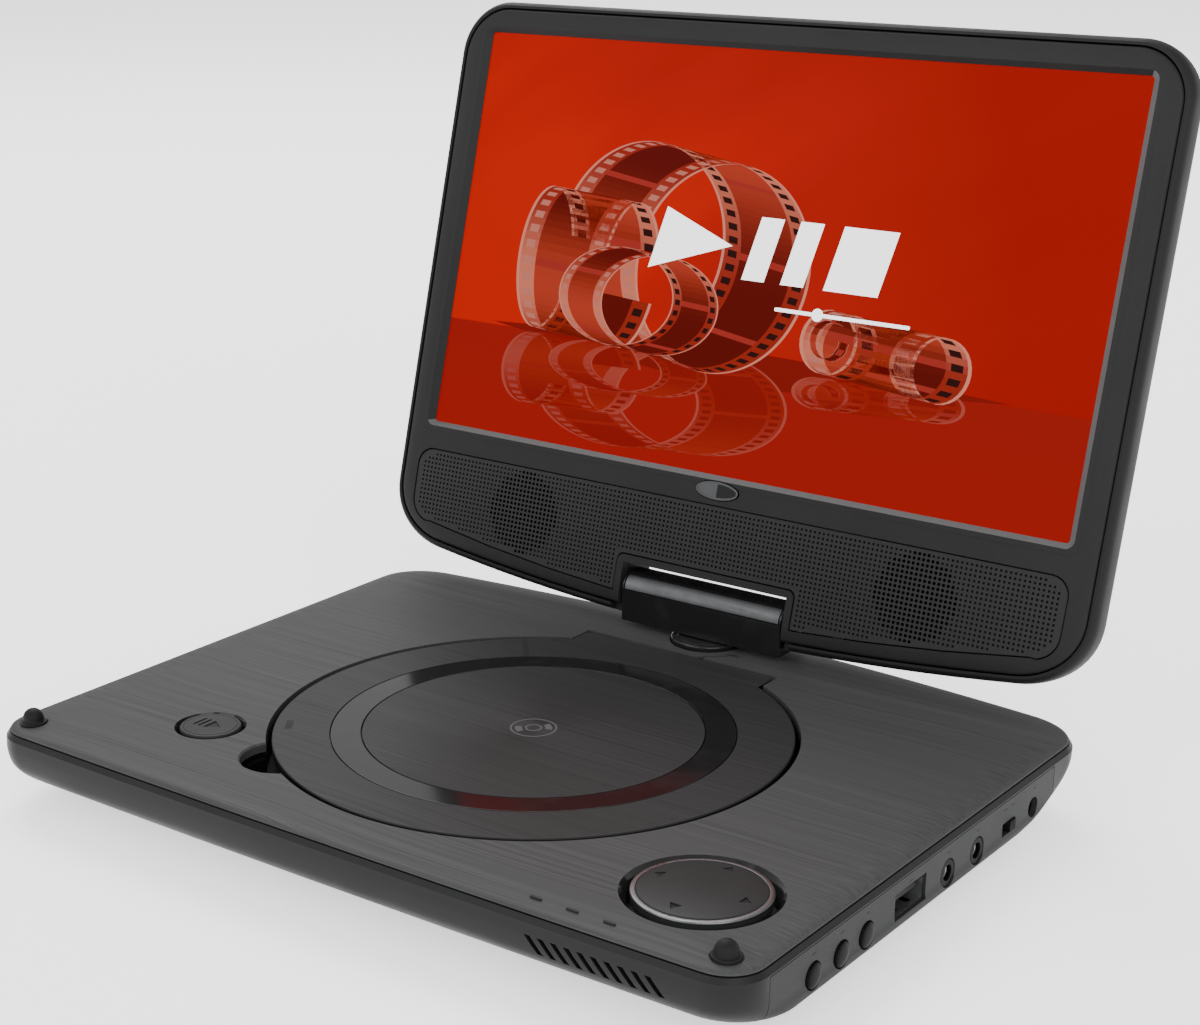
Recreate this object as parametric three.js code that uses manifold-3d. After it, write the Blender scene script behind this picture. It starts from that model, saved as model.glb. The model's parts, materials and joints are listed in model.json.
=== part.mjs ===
// Portable DVD player: a flat base with a top-loading disc door, and a display lid on a
// tilting and swivelling hinge block. Millimetres, +Z up, +X to the player's right.
import * as THREE from 'three';
import { ConvexGeometry } from 'three/addons/geometries/ConvexGeometry.js';
import { mergeVertices } from 'three/addons/utils/BufferGeometryUtils.js';
import Module from 'manifold-3d';

const wasm = await Module();
wasm.setup();

// ---------------------------------------------------------------- driving dimensions

const GAP = 0.3;               // clearance between neighbouring pieces
const DOOR_SIDES = 72;         // facets of the door and the rims that match it
const SEAM_HEIGHT = 20;        // cover seam above the table
const BASE_SHIFT = -21.045;    // moves the base so that the whole player is centred on Y
const LID_LEAN = THREE.MathUtils.degToRad(14.95);

// Base outline at the cover seam. Front and rear edges bow outwards.
const BASE = { half: 108.4, front: -79.35, rear: 79.35, frontBow: 0.93, rearBow: 7.75 };
const CROWN = 1.56;            // top of the cover above the seam
const SHELL_HALF = 109.4;
const SHELL_BOTTOM = -18.5;
const WALL = 2;

// Disc door and bay
const DOOR = { x: 0, y: -2.1, radius: 64, tabHalf: 29.7, tabRear: 62.8 };
const DOOR_GAP = 1.4;
const DOOR_UNDERSIDE = -0.5;
const DOOR_HINGE = { y: 61, z: -0.3 };
const RING = { inner: 42, outer: 50 };
const SCOOP = { x: -37.2, y: -52.9, radius: 9.6 };
const WELL = { floorTop: -7.5, floorBottom: -9, rim: -1.5, wall: 1.6 };

// Keys on the cover
const PLAY = { x: -64.3, y: -48.9, radius: 7.6 };
const PAD = { x: 82, y: -52.6, radius: 15.2, recess: 17.5 };
const BUMPER = { x: 101.1, y: -73.3, dome: 3.25, collar: 4 };

// Swivel and tilt
const SWIVEL = { y: 76.3, radius: 9.8, post: 5.2, top: 3 };
const TILT = { y: 78, z: 12 };
const BLOCK = { half: 25.3, front: 72, rear: 84, bottom: 3.3, crownRadius: 4.6 };

// Lid, in its own frame: X right, Y up the lid from the tilt axis, Z out of the display
const LID = { half: 110, front: 0.4, rear: 156.1, frontBow: 8.6, bezel: 6.46, back: -7.54 };
const SCREEN = { half: 99, height: 56, y: 90.7, z: 4.46 };
const NOTCH = { half: 26, top: 6.3, wall: 1.5 };
const GRILLE = { half: 102.3, top: 26.4, edge: 2 };
const SPEAKER = { x: 62, y: 13.5, radius: 11 };

// Drive
const SPINDLE = { x: DOOR.x, y: DOOR.y };
const LENS_INNER = 24;         // lens to spindle when the sled is home
const SLED_HALF = 8;           // half the sled's length
const ROD = { x: 19, z: -11, radius: 1.2, front: -70.8, rear: -12.4, lug: 2.2 };
const GEAR = { module: 0.5, teeth: 32, bottom: -12.4, top: -10 };
const PINION_TEETH = 12;
const PINION_STEPS = 12;       // gear teeth between the rack contact and the pinion contact
const CHASSIS = { top: -14.2, bottom: -15.2 };

// Sockets and keys on the right side, from front to rear
const SIDE_KEYS = [-53.2, -41.8, -31.2];
const SIDE_Z = -8.9;
const USB = { y: -11.9, z: -7.8, width: 13.2, height: 5.8 };
const JACKS = { headphone_jack: 5.6, av_jack: 19.9 };
const SWITCH = { y: 36.1, z: -8.9, length: 6.4, knob: 2.9 };
const DC_Y = 49.1;

// ---------------------------------------------------------------- finishes

function finish(color, roughness, metalness = 0) {
  return { color, roughness, metalness };
}

const FINISH = {
  brushed: finish(0x3f4040, 0.42, 0.25),
  shell: finish(0x3a3b3c, 0.5),
  panel: finish(0x57595b, 0.45),
  matte: finish(0x232324, 0.7),
  gloss: finish(0x0c0c0d, 0.12),
  rubber: finish(0x161616, 0.9),
  steel: finish(0xb8babd, 0.3, 0.9),
  board: finish(0x1d5a34, 0.5),
  battery: finish(0x2d4f87, 0.5),
  screen: finish(0xa81f08, 0.2),
  lens: finish(0x3b4a66, 0.05),
  brass: finish(0xc9a557, 0.35, 0.8),
  white: finish(0xd9d9d2, 0.6),
};

// ---------------------------------------------------------------- solids

/** Turns a closed geometry into a solid that can be joined and cut. */
function solid(geometry) {
  const bare = geometry.clone();
  bare.deleteAttribute('normal');
  bare.deleteAttribute('uv');
  const merged = mergeVertices(bare, 1e-4);
  return new wasm.Manifold(new wasm.Mesh({
    numProp: 3,
    vertProperties: new Float32Array(merged.attributes.position.array),
    triVerts: new Uint32Array(merged.index.array),
  }));
}

function join(...solids) {
  return solids.reduce((whole, next) => whole.add(next));
}

function cut(body, ...tools) {
  return tools.reduce((rest, tool) => rest.subtract(tool), body);
}

/** A box between two corners. */
function box([x0, y0, z0], [x1, y1, z1]) {
  const geometry = new THREE.BoxGeometry(x1 - x0, y1 - y0, z1 - z0);
  return solid(geometry.translate((x0 + x1) / 2, (y0 + y1) / 2, (z0 + z1) / 2));
}

/** An upright cylinder or cone between two heights. */
function rod(x, y, z0, z1, radius, { top = radius, sides = 32 } = {}) {
  const geometry = new THREE.CylinderGeometry(top, radius, z1 - z0, sides);
  geometry.rotateX(Math.PI / 2);
  return solid(geometry.translate(x, y, (z0 + z1) / 2));
}

/** A cylinder lying along X. */
function rodX(x0, x1, y, z, radius, sides = 24) {
  const geometry = new THREE.CylinderGeometry(radius, radius, x1 - x0, sides);
  geometry.rotateZ(-Math.PI / 2);
  return solid(geometry.translate((x0 + x1) / 2, y, z));
}

/** A cylinder lying along Y. */
function rodY(x, y0, y1, z, radius, sides = 20) {
  const geometry = new THREE.CylinderGeometry(radius, radius, y1 - y0, sides);
  return solid(geometry.translate(x, (y0 + y1) / 2, z));
}

/** A shape pulled up from z0 to z1. */
function prism(shape, z0, z1, curveSegments = 8) {
  const options = { depth: z1 - z0, bevelEnabled: false, curveSegments };
  return solid(new THREE.ExtrudeGeometry(shape, options).translate(0, 0, z0));
}

/** A shape in the YZ plane pulled along X from x0 to x1. */
function prismX(shape, x0, x1, curveSegments = 10) {
  const options = { depth: x1 - x0, bevelEnabled: false, curveSegments };
  const geometry = new THREE.ExtrudeGeometry(shape, options);
  geometry.rotateX(Math.PI / 2);
  geometry.rotateZ(Math.PI / 2);
  return solid(geometry.translate(x0, 0, 0));
}

/** A turned solid about Z, from [radius, height] points that start and end on the axis. */
function turned(points, x, y, sides = 24) {
  const geometry = new THREE.LatheGeometry(points.map(([r, z]) => new THREE.Vector2(r, z)), sides);
  geometry.rotateX(Math.PI / 2);
  return solid(geometry.translate(x, y, 0));
}

/** A turned solid about the X direction through (y, z). */
function turnedX(points, y, z, sides = 24) {
  const geometry = new THREE.LatheGeometry(points.map(([r, x]) => new THREE.Vector2(r, x)), sides);
  geometry.rotateZ(-Math.PI / 2);
  return solid(geometry.translate(0, y, z));
}

/** A rectangle with rounded corners, centred on (x, y). */
function roundedRectangle(x, y, halfWidth, halfHeight, radius) {
  const shape = new THREE.Shape();
  const w = halfWidth - radius;
  const h = halfHeight - radius;
  shape.absarc(x + w, y - h, radius, -Math.PI / 2, 0);
  shape.absarc(x + w, y + h, radius, 0, Math.PI / 2);
  shape.absarc(x - w, y + h, radius, Math.PI / 2, Math.PI);
  shape.absarc(x - w, y - h, radius, Math.PI, Math.PI * 1.5);
  shape.closePath();
  return shape;
}

function polygon(points) {
  return new THREE.Shape(points.map(([x, y]) => new THREE.Vector2(x, y)));
}

/**
 * A rounded outline whose front and rear edges are shallow parabolas. The inset moves every
 * edge inwards.
 */
function casingOutline(size, inset = 0) {
  const { half, front, rear, frontRadius, rearRadius, frontBow = 0, rearBow = 0 } = size;
  const w = half - inset;
  const f = Math.max(frontRadius - inset * 0.7, 1.5);
  const r = Math.max(rearRadius - inset * 0.7, 1.5);
  const frontAt = (x) => front + inset - frontBow * (1 - (x / half) ** 2);
  const rearAt = (x) => rear - inset + rearBow * (1 - (x / half) ** 2);
  const frontSlope = 2 * frontBow * (w - f) / half ** 2;
  const rearSlope = -2 * rearBow * (w - r) / half ** 2;
  const frontY = frontAt(w - f);
  const rearY = rearAt(w - r);
  const k = 0.5523;
  const shape = new THREE.Shape();
  shape.moveTo(-(w - f), frontY);
  shape.quadraticCurveTo(0, frontY - frontSlope * (w - f), w - f, frontY);
  shape.bezierCurveTo(w - f + k * f, frontY + k * f * frontSlope, w, frontY + f - k * f, w, frontY + f);
  shape.lineTo(w, rearY - r);
  shape.bezierCurveTo(w, rearY - r + k * r, w - r + k * r, rearY + k * r * rearSlope, w - r, rearY);
  shape.quadraticCurveTo(0, rearY - rearSlope * (w - r), -(w - r), rearY);
  shape.bezierCurveTo(-(w - r) - k * r, rearY + k * r * rearSlope, -w, rearY - r + k * r, -w, rearY - r);
  shape.lineTo(-w, frontY + f);
  shape.bezierCurveTo(
    -w, frontY + f - k * f, -(w - f) - k * f, frontY + k * f * frontSlope, -(w - f), frontY,
  );
  return shape;
}

/** The convex solid that wraps a stack of casing outlines. */
function wrapped(levels, divisions = 6) {
  const points = [];
  for (const { z, size, inset = 0 } of levels) {
    for (const point of casingOutline(size, inset).getPoints(divisions)) {
      points.push(new THREE.Vector3(point.x, point.y, z));
    }
  }
  return solid(new ConvexGeometry(points));
}

/** A gear outline with slim tapered teeth, one of them centred on the angle phase. */
function gearShape(teeth, module, phase = 0) {
  const pitch = teeth * module / 2;
  const tip = pitch + 0.8 * module;
  const root = pitch - 1.15 * module;
  const step = 2 * Math.PI / teeth;
  const shape = new THREE.Shape();
  for (let i = 0; i < teeth; i += 1) {
    const middle = phase + i * step;
    const corners = [[root, -0.27], [tip, -0.1], [tip, 0.1], [root, 0.27]];
    for (const [radius, share] of corners) {
      const x = radius * Math.cos(middle + share * step);
      const y = radius * Math.sin(middle + share * step);
      if (i === 0 && share === -0.27) {
        shape.moveTo(x, y);
      } else {
        shape.lineTo(x, y);
      }
    }
  }
  shape.closePath();
  return shape;
}

/** Adds one named piece to a group. */
function piece(parent, name, body, look) {
  const mesh = body.getMesh();
  const geometry = new THREE.BufferGeometry();
  geometry.setAttribute('position', new THREE.BufferAttribute(new Float32Array(mesh.vertProperties), 3));
  geometry.setIndex(new THREE.BufferAttribute(new Uint32Array(mesh.triVerts), 1));
  geometry.computeVertexNormals();
  const item = new THREE.Mesh(geometry, new THREE.MeshStandardMaterial(look));
  item.name = name;
  parent.add(item);
}

// ---------------------------------------------------------------- base casing

const coverSize = { ...BASE, frontRadius: 9, rearRadius: 14 };

/** Levels of the lower shell, from the seam down to the flat belly. */
function shellLevels(inset) {
  const rows = [
    [-0.3, SHELL_HALF - 0.8, -79.6, 79.6, 9.2, 14.2, 0],
    [-1.5, SHELL_HALF, -80.4, 80.3, 10, 15, 0],
    [-5.5, SHELL_HALF, -80.4, 79.8, 10, 16, 0],
    [-9.5, SHELL_HALF - 0.05, -79.2, 77, 11.5, 22, 0.3],
    [-13.2, SHELL_HALF - 0.2, -74.5, 70, 15, 32, 1],
    [-17, 103, -66.5, 60, 22, 34, 1.6],
    [SHELL_BOTTOM, 99, -62, 54, 20, 32, 1.9],
  ];
  return rows.map(([z, half, front, rear, frontRadius, rearRadius, lift]) => ({
    z: z + (inset > 0 ? lift : 0),
    size: { ...BASE, half, front, rear, frontRadius, rearRadius },
    inset,
  }));
}

function shellOuter() {
  return wrapped(shellLevels(0));
}

/** The room inside the lower shell, less a clearance. */
function shellRoom(clearance) {
  const levels = shellLevels(WALL + 0.2 + clearance);
  levels[0].z = 3;
  levels[0].size = levels[1].size;
  for (const level of levels) {
    level.z += clearance;
  }
  return wrapped(levels);
}

const room = shellRoom(GAP);

const SCREWS = [[-84, -56], [58, -56], [-64, 46], [64, 46]];
const FEET = {
  foot_front_left: [-66, -52],
  foot_front_right: [78, -46],
  foot_rear_left: [-76, 44],
  foot_rear_right: [76, 44],
};
const FOOT_RADIUS = 5;

function makeTopCover() {
  const outer = wrapped([
    { z: 0, size: coverSize },
    { z: 0.55, size: coverSize, inset: 0.4 },
    { z: 0.95, size: coverSize, inset: 1.4 },
    { z: 1.3, size: coverSize, inset: 4.2 },
    { z: CROWN, size: coverSize, inset: 9 },
  ]);
  const plug = prism(casingOutline(coverSize, 3), -0.8, 0.2);
  const bosses = [
    rod(PLAY.x, PLAY.y, -3.6, 0.2, PLAY.radius + 2.4),
    rod(PAD.x, PAD.y, -4.6, 0.2, PAD.recess + 1),
    ...SCREWS.map(([x, y]) => rod(x, y, -15, 0.2, 3.2, { sides: 12 })),
  ];
  const opening = rod(DOOR.x, DOOR.y, -9, 9, DOOR.radius + DOOR_GAP, { sides: DOOR_SIDES });
  const tabHalf = DOOR.tabHalf + 0.6;
  const tabOpening = box([-tabHalf, 40, -9], [tabHalf, DOOR.tabRear + 0.6, 9]);
  const scoop = rod(SCOOP.x, SCOOP.y, -9, 9, SCOOP.radius);
  const scoopEdge = rod(
    SCOOP.x, SCOOP.y, CROWN - 0.5, CROWN + 0.5, SCOOP.radius - 0.1, { top: SCOOP.radius + 1 });
  const playRecess = rod(PLAY.x, PLAY.y, -2.6, 9, PLAY.radius + 0.4);
  const playDish = rod(PLAY.x, PLAY.y, 0.2, CROWN + 0.4, PLAY.radius + 0.4, { top: PLAY.radius + 1.5 });
  const padRecess = rod(PAD.x, PAD.y, -3.6, 0, PAD.radius + 0.7);
  const padDish = rod(PAD.x, PAD.y, -0.4, CROWN + 0.4, PAD.radius + 0.7, { top: PAD.recess + 0.4 });
  const swivelRecess = rod(0, SWIVEL.y, 0.1, 9, SWIVEL.radius + GAP);
  const swivelHole = rod(0, SWIVEL.y, -9, 9, SWIVEL.post + 0.6);
  const pinPockets = [-1, 1].map((side) => {
    const inner = DOOR.tabHalf * side;
    const outer = (DOOR.tabHalf + 4.4) * side;
    return rodX(Math.min(inner, outer), Math.max(inner, outer), DOOR_HINGE.y, DOOR_HINGE.z, 1.2, 20);
  });
  const bumperSeats = [-1, 1].map((side) => join(
    rod(side * BUMPER.x, BUMPER.y, 1, 9, BUMPER.collar + GAP),
    rod(side * BUMPER.x, BUMPER.y, -9, 9, 2, { sides: 20 }),
  ));
  const screwBores = SCREWS.map(([x, y]) => rod(x, y, -16, -3, 1.7, { sides: 10 }));
  return cut(
    join(outer, plug, ...bosses), opening, tabOpening, scoop, scoopEdge, playRecess, playDish, padRecess,
    padDish, rod(PAD.x, PAD.y, -9, 0, 2.6, { sides: 20 }), rod(PLAY.x, PLAY.y, -9, 0, 2.4, { sides: 20 }),
    swivelRecess, swivelHole, ...pinPockets, ...bumperSeats, ...screwBores,
  );
}

/** The window in the right wall that the port panel closes. */
function panelSlab(clearance) {
  const depth = clearance > 0 ? 20 : 1.5;
  return box(
    [SHELL_HALF - depth, -70.2 - clearance, -12.6 - clearance],
    [SHELL_HALF + 5, 60 + clearance, -2 + clearance],
  );
}

const VENTS = { count: 10, x: 57, pitch: 3.3, top: -4.2, bottom: -8.2, slant: 3.2, width: 1.5 };

function ventSlots() {
  const slots = [];
  for (let i = 0; i < VENTS.count; i += 1) {
    const x = VENTS.x + i * VENTS.pitch;
    const shape = polygon([
      [x, VENTS.top], [x + VENTS.slant, VENTS.bottom],
      [x + VENTS.slant + VENTS.width, VENTS.bottom], [x + VENTS.width, VENTS.top],
    ]);
    const geometry = new THREE.ExtrudeGeometry(shape, { depth: 8, bevelEnabled: false });
    geometry.rotateX(Math.PI / 2);
    slots.push(solid(geometry.translate(0, -75, 0)));
  }
  return slots;
}

function makeLowerShell() {
  const bores = SCREWS.flatMap(([x, y]) => [
    rod(x, y, -20, -14, 1.7, { sides: 12 }),
    rod(x, y, -20, -17.2, 3, { sides: 16 }),
  ]);
  const footSeats = Object.values(FEET).map(([x, y]) => (
    rod(x, y, -20, -17.7, FOOT_RADIUS + GAP, { sides: 24 })));
  return cut(shellOuter(), shellRoom(0), panelSlab(0.2), ...ventSlots(), ...bores, ...footSeats);
}

function makePortPanel() {
  const inner = SHELL_HALF - 4;
  const outer = SHELL_HALF + 4;
  const keyHoles = SIDE_KEYS.map((y) => rodX(inner, outer, y, SIDE_Z, 3.2));
  const jackHoles = Object.values(JACKS).map((y) => rodX(inner, outer, y, SIDE_Z, 3.4));
  const usbHole = box([inner, USB.y - 7, USB.z - 3.15], [outer, USB.y + 7, USB.z + 3.15]);
  const halfSlot = SWITCH.length / 2;
  const switchHole = box(
    [inner, SWITCH.y - halfSlot, SWITCH.z - 1.6],
    [outer, SWITCH.y + halfSlot, SWITCH.z + 1.6],
  );
  const dcHole = rodX(inner, outer, DC_Y, SIDE_Z + 0.3, 2.5);
  return cut(shellOuter().intersect(panelSlab(0)), ...keyHoles, ...jackHoles, usbHole, switchHole, dcHole);
}

/** The plan of the disc bay, its thumb scoop and the door's tab, pulled up from z0 to z1. */
function bayPrism(grow, z0, z1) {
  const tabHalf = DOOR.tabHalf + 0.8 + grow;
  const tabRear = DOOR.tabRear + 0.9 + grow;
  return join(
    rod(DOOR.x, DOOR.y, z0, z1, DOOR.radius + DOOR_GAP + grow, { sides: DOOR_SIDES }),
    rod(SCOOP.x, SCOOP.y, z0, z1, SCOOP.radius + grow),
    box([-tabHalf, 30, z0], [tabHalf, tabRear, z1]),
  );
}

/** The slot that the pickup head runs in, up to a height. */
function headSlot(top) {
  return box([-13.5, SPINDLE.y - 65, -20], [13.5, SPINDLE.y, top]);
}

/** The wall round the disc bay, standing on the bay floor. */
function makeBayWall() {
  const foot = WELL.floorTop + GAP;
  return cut(
    bayPrism(WELL.wall, foot, WELL.rim), bayPrism(0, foot - 1, WELL.rim + 1),
    rod(0, SWIVEL.y, -3.2, 5, 11), headSlot(-5.6),
  );
}

/** The floor of the disc bay, with the arms and lugs that carry the guide rods. */
function makeBayFloor() {
  const plate = bayPrism(WELL.wall, WELL.floorBottom, WELL.floorTop);
  const motorHole = rod(SPINDLE.x, SPINDLE.y, -20, 5, 15.6);
  const armHalf = 2.6;
  const arms = [-1, 1].map((side) => box(
    [side * ROD.x - armHalf, ROD.front, WELL.floorBottom],
    [side * ROD.x + armHalf, -60, WELL.floorBottom + 1.2],
  ));
  const lug = (x, y) => box(
    [x - armHalf, y, ROD.z - 1.9],
    [x + armHalf, y + ROD.lug, WELL.floorBottom + 0.2],
  );
  const lugs = [-1, 1].flatMap((side) => (
    [ROD.front, ROD.rear - ROD.lug].map((y) => lug(side * ROD.x, y))));
  const lugBores = [-1, 1].map((side) => rodY(side * ROD.x, -80, 0, ROD.z, ROD.radius + GAP, 12));
  return cut(join(plate, ...arms, ...lugs), headSlot(5), motorHole, ...lugBores);
}

function addCasing(base) {
  piece(base, 'top_cover', makeTopCover(), FINISH.brushed);
  piece(base, 'lower_shell', makeLowerShell(), FINISH.shell);
  piece(base, 'port_panel', makePortPanel(), FINISH.panel);
  piece(base, 'bay_floor', makeBayFloor(), FINISH.matte);
  piece(base, 'bay_wall', makeBayWall(), FINISH.matte);
  for (const [name, [x, y]] of Object.entries(FEET)) {
    const foot = turned([
      [0, -20], [FOOT_RADIUS - 0.8, -20], [FOOT_RADIUS, -19.3], [FOOT_RADIUS, -18], [0, -18],
    ], x, y, 24);
    piece(base, name, foot, FINISH.rubber);
  }
  SCREWS.forEach(([x, y], index) => {
    const driverSlot = box([x - 1.6, y - 0.3, -19], [x + 1.6, y + 0.3, -17.7]);
    const head = cut(rod(x, y, -18.2, -17.2, 2.6, { sides: 16 }), driverSlot);
    const shank = rod(x, y, -17.5, -6, 1.25, { sides: 8 });
    piece(base, `base_screw_${index + 1}`, join(head, shank), FINISH.steel);
  });
  const bumperProfile = [
    [0, -1.5], [1.7, -1.5], [1.7, 1.3], [BUMPER.collar, 1.3], [BUMPER.collar, 1.9], [BUMPER.dome, 2.1],
    [BUMPER.dome, 3.2], [2.8, 4.2], [1.7, 4.9], [0, 5.15],
  ];
  piece(base, 'bumper_left', turned(bumperProfile, -BUMPER.x, BUMPER.y, 20), FINISH.rubber);
  piece(base, 'bumper_right', turned(bumperProfile, BUMPER.x, BUMPER.y, 20), FINISH.rubber);
}

// ---------------------------------------------------------------- disc door

function makeDiscDoor() {
  const tabRear = DOOR.tabRear;
  const half = DOOR.tabHalf;
  const disc = turned([
    [0, DOOR_UNDERSIDE], [DOOR.radius, DOOR_UNDERSIDE], [DOOR.radius, 1.2], [DOOR.radius - 0.4, 1.5],
    [0, 1.5],
  ], DOOR.x, DOOR.y, DOOR_SIDES);
  const tabSide = polygon([
    [40, DOOR_UNDERSIDE], [tabRear, DOOR_UNDERSIDE], [tabRear, 1], [tabRear - 0.5, 1.5], [40, 1.5],
  ]);
  const tab = prismX(tabSide, -half, half);
  const skirt = cut(
    rod(DOOR.x, DOOR.y, -1.4, 0, DOOR.radius, { sides: DOOR_SIDES }),
    rod(DOOR.x, DOOR.y, -5, 5, DOOR.radius - 1.5, { sides: DOOR_SIDES }),
    box([-70, 40, -5], [70, 80, 5]),
  );
  const pin = rodX(-half - 3.6, half + 3.6, DOOR_HINGE.y, DOOR_HINGE.z, 0.9, 16);
  const groove = cut(
    rod(DOOR.x, DOOR.y, 0.7, 5, RING.outer, { sides: DOOR_SIDES }),
    rod(DOOR.x, DOOR.y, 0, 6, RING.inner, { sides: DOOR_SIDES }),
  );
  const corners = [-1, 1].map((side) => prism(polygon([
    [side * half, tabRear - 2], [side * (half + 1), tabRear + 1], [side * (half - 2), tabRear],
  ]), -5, 5));
  return cut(join(disc, tab, skirt, pin), groove, ...corners);
}

function addDoor(base) {
  piece(base, 'disc_door', makeDiscDoor(), FINISH.brushed);
  const ring = cut(
    rod(DOOR.x, DOOR.y, 1, 1.5, RING.outer - GAP, { sides: DOOR_SIDES }),
    rod(DOOR.x, DOOR.y, 0, 2, RING.inner + GAP, { sides: DOOR_SIDES }),
  );
  piece(base, 'door_ring', ring, FINISH.gloss);
}

// ---------------------------------------------------------------- drive

const pitchRadius = GEAR.module * GEAR.teeth / 2;
const pinionRadius = GEAR.module * PINION_TEETH / 2;
const rackPitchX = -26;
const RACK_BACK = -21.7;        // face of the rack that joins the sled
const gearCentre = { x: rackPitchX - pitchRadius, y: -33 };
const pinionAngle = 2 * Math.PI * PINION_STEPS / GEAR.teeth;
const pinionCentre = {
  x: gearCentre.x + (pitchRadius + pinionRadius) * Math.cos(pinionAngle),
  y: gearCentre.y + (pitchRadius + pinionRadius) * Math.sin(pinionAngle),
};

/** Rack with slim teeth that face -X, with a tooth space opposite the gear's first tooth. */
function makeRack(yFront, yRear) {
  const { module } = GEAR;
  const pitch = Math.PI * module;
  const tip = rackPitchX - 0.8 * module;
  const root = rackPitchX + 1.15 * module;
  const points = [[RACK_BACK, yRear], [root, yRear]];
  const first = Math.ceil((yFront - gearCentre.y) / pitch + 0.5);
  const last = Math.floor((yRear - gearCentre.y) / pitch - 0.5);
  for (let i = last; i >= first; i -= 1) {
    const middle = gearCentre.y + (i + 0.5) * pitch;
    for (const [x, share] of [[root, 0.27], [tip, 0.1], [tip, -0.1], [root, -0.27]]) {
      points.push([x, middle + share * pitch]);
    }
  }
  points.push([root, yFront], [RACK_BACK, yFront]);
  return prism(polygon(points), GEAR.bottom, GEAR.top);
}

function makeSled() {
  const y = SPINDLE.y - LENS_INNER;
  const carriage = box([-22, y - SLED_HALF, -13], [22, y + SLED_HALF, -9.4]);
  const head = prism(roundedRectangle(0, y, 11, 7, 1.5), -9.6, -6.2, 4);
  const rack = makeRack(y - SLED_HALF, gearCentre.y + 38);
  const bores = [-1, 1].map((side) => rodY(side * ROD.x, y - 20, y + 20, ROD.z, ROD.radius + GAP, 12));
  const lensSeat = rod(0, y, -7, -5, 3.4, { sides: 24 });
  return cut(join(carriage, head, rack), ...bores, lensSeat);
}

function addDrive(base) {
  const plate = join(
    box([-50, -62, CHASSIS.bottom], [40, 26, CHASSIS.top]),
    ...[[-36, -56], [36, -56], [-36, 20], [36, 20]].map(([x, y]) => (
      rod(x, y, CHASSIS.top - 0.2, WELL.floorBottom - GAP, 3, { sides: 12 }))),
    rod(gearCentre.x, gearCentre.y, CHASSIS.top - 0.2, GEAR.top + 0.4, 1, { sides: 16 }),
  );
  const motorHole = rod(pinionCentre.x, pinionCentre.y, -20, 0, 7.4, { sides: 32 });
  const sledRelief = box([-23, -58, -20], [23, -20, -13.1]);
  piece(base, 'drive_chassis', cut(plate, motorHole, sledRelief).intersect(room), FINISH.steel);

  const motor = turned([
    [0, CHASSIS.top + GAP], [13, CHASSIS.top + GAP], [13, -11.5], [11.5, -11], [11.5, -9.6], [3, -9.6],
    [3, -9.3], [1, -9.3], [1, -3.6], [0, -3.6],
  ], SPINDLE.x, SPINDLE.y);
  piece(base, 'spindle_motor', motor, FINISH.steel);

  const table = turned([
    [0, -3.2], [1.3, -3.2], [1.3, -9], [5, -9], [5, -5.4], [15, -5.4], [15, -3.9], [7.4, -3.9], [7.4, -2.9],
    [6.6, -2.1], [4.5, -1.7], [0, -1.7],
  ], SPINDLE.x, SPINDLE.y);
  piece(base, 'turntable', table, FINISH.matte);

  for (const [name, side] of [['guide_rod_left', -1], ['guide_rod_right', 1]]) {
    piece(base, name, rodY(side * ROD.x, ROD.front, ROD.rear, ROD.z, ROD.radius, 12), FINISH.steel);
  }

  piece(base, 'pickup_sled', makeSled(), FINISH.matte);
  const lensY = SPINDLE.y - LENS_INNER;
  const lens = turned([
    [0, -6.7], [3.1, -6.7], [3.1, -6.1], [2.4, -5.9], [2, -5.6], [1, -5.3], [0, -5.2],
  ], 0, lensY, 20);
  piece(base, 'pickup_lens', lens, FINISH.lens);

  const feedMotor = join(
    rod(pinionCentre.x, pinionCentre.y, -15.9, -12.9, 7, { sides: 32 }),
    rod(pinionCentre.x, pinionCentre.y, -13, -9.8, 0.7, { sides: 12 }),
  );
  piece(base, 'feed_motor', feedMotor.intersect(room), FINISH.steel);

  const gear = cut(
    prism(gearShape(GEAR.teeth, GEAR.module), GEAR.bottom, GEAR.top),
    rod(0, 0, -20, 0, 1.3, { sides: 16 }),
  );
  piece(base, 'feed_gear', gear.translate([gearCentre.x, gearCentre.y, 0]), FINISH.white);

  const pinionPhase = pinionAngle + Math.PI - Math.PI / PINION_TEETH;
  const pinion = cut(
    prism(gearShape(PINION_TEETH, GEAR.module, pinionPhase), GEAR.bottom, GEAR.top),
    rod(0, 0, -20, 0, 1, { sides: 16 }),
  );
  piece(base, 'feed_pinion', pinion.translate([pinionCentre.x, pinionCentre.y, 0]), FINISH.brass);
}

// ---------------------------------------------------------------- electronics and sockets

function makeJack(y, barrelEnd) {
  const body = box([92, y - 4.6, -12.9], [104.5, y + 4.6, -5.4]);
  const barrel = rodX(104, barrelEnd, y, SIDE_Z, 3.1);
  return cut(join(body, barrel), rodX(96, 115, y, SIDE_Z, 1.75, 24));
}

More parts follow.
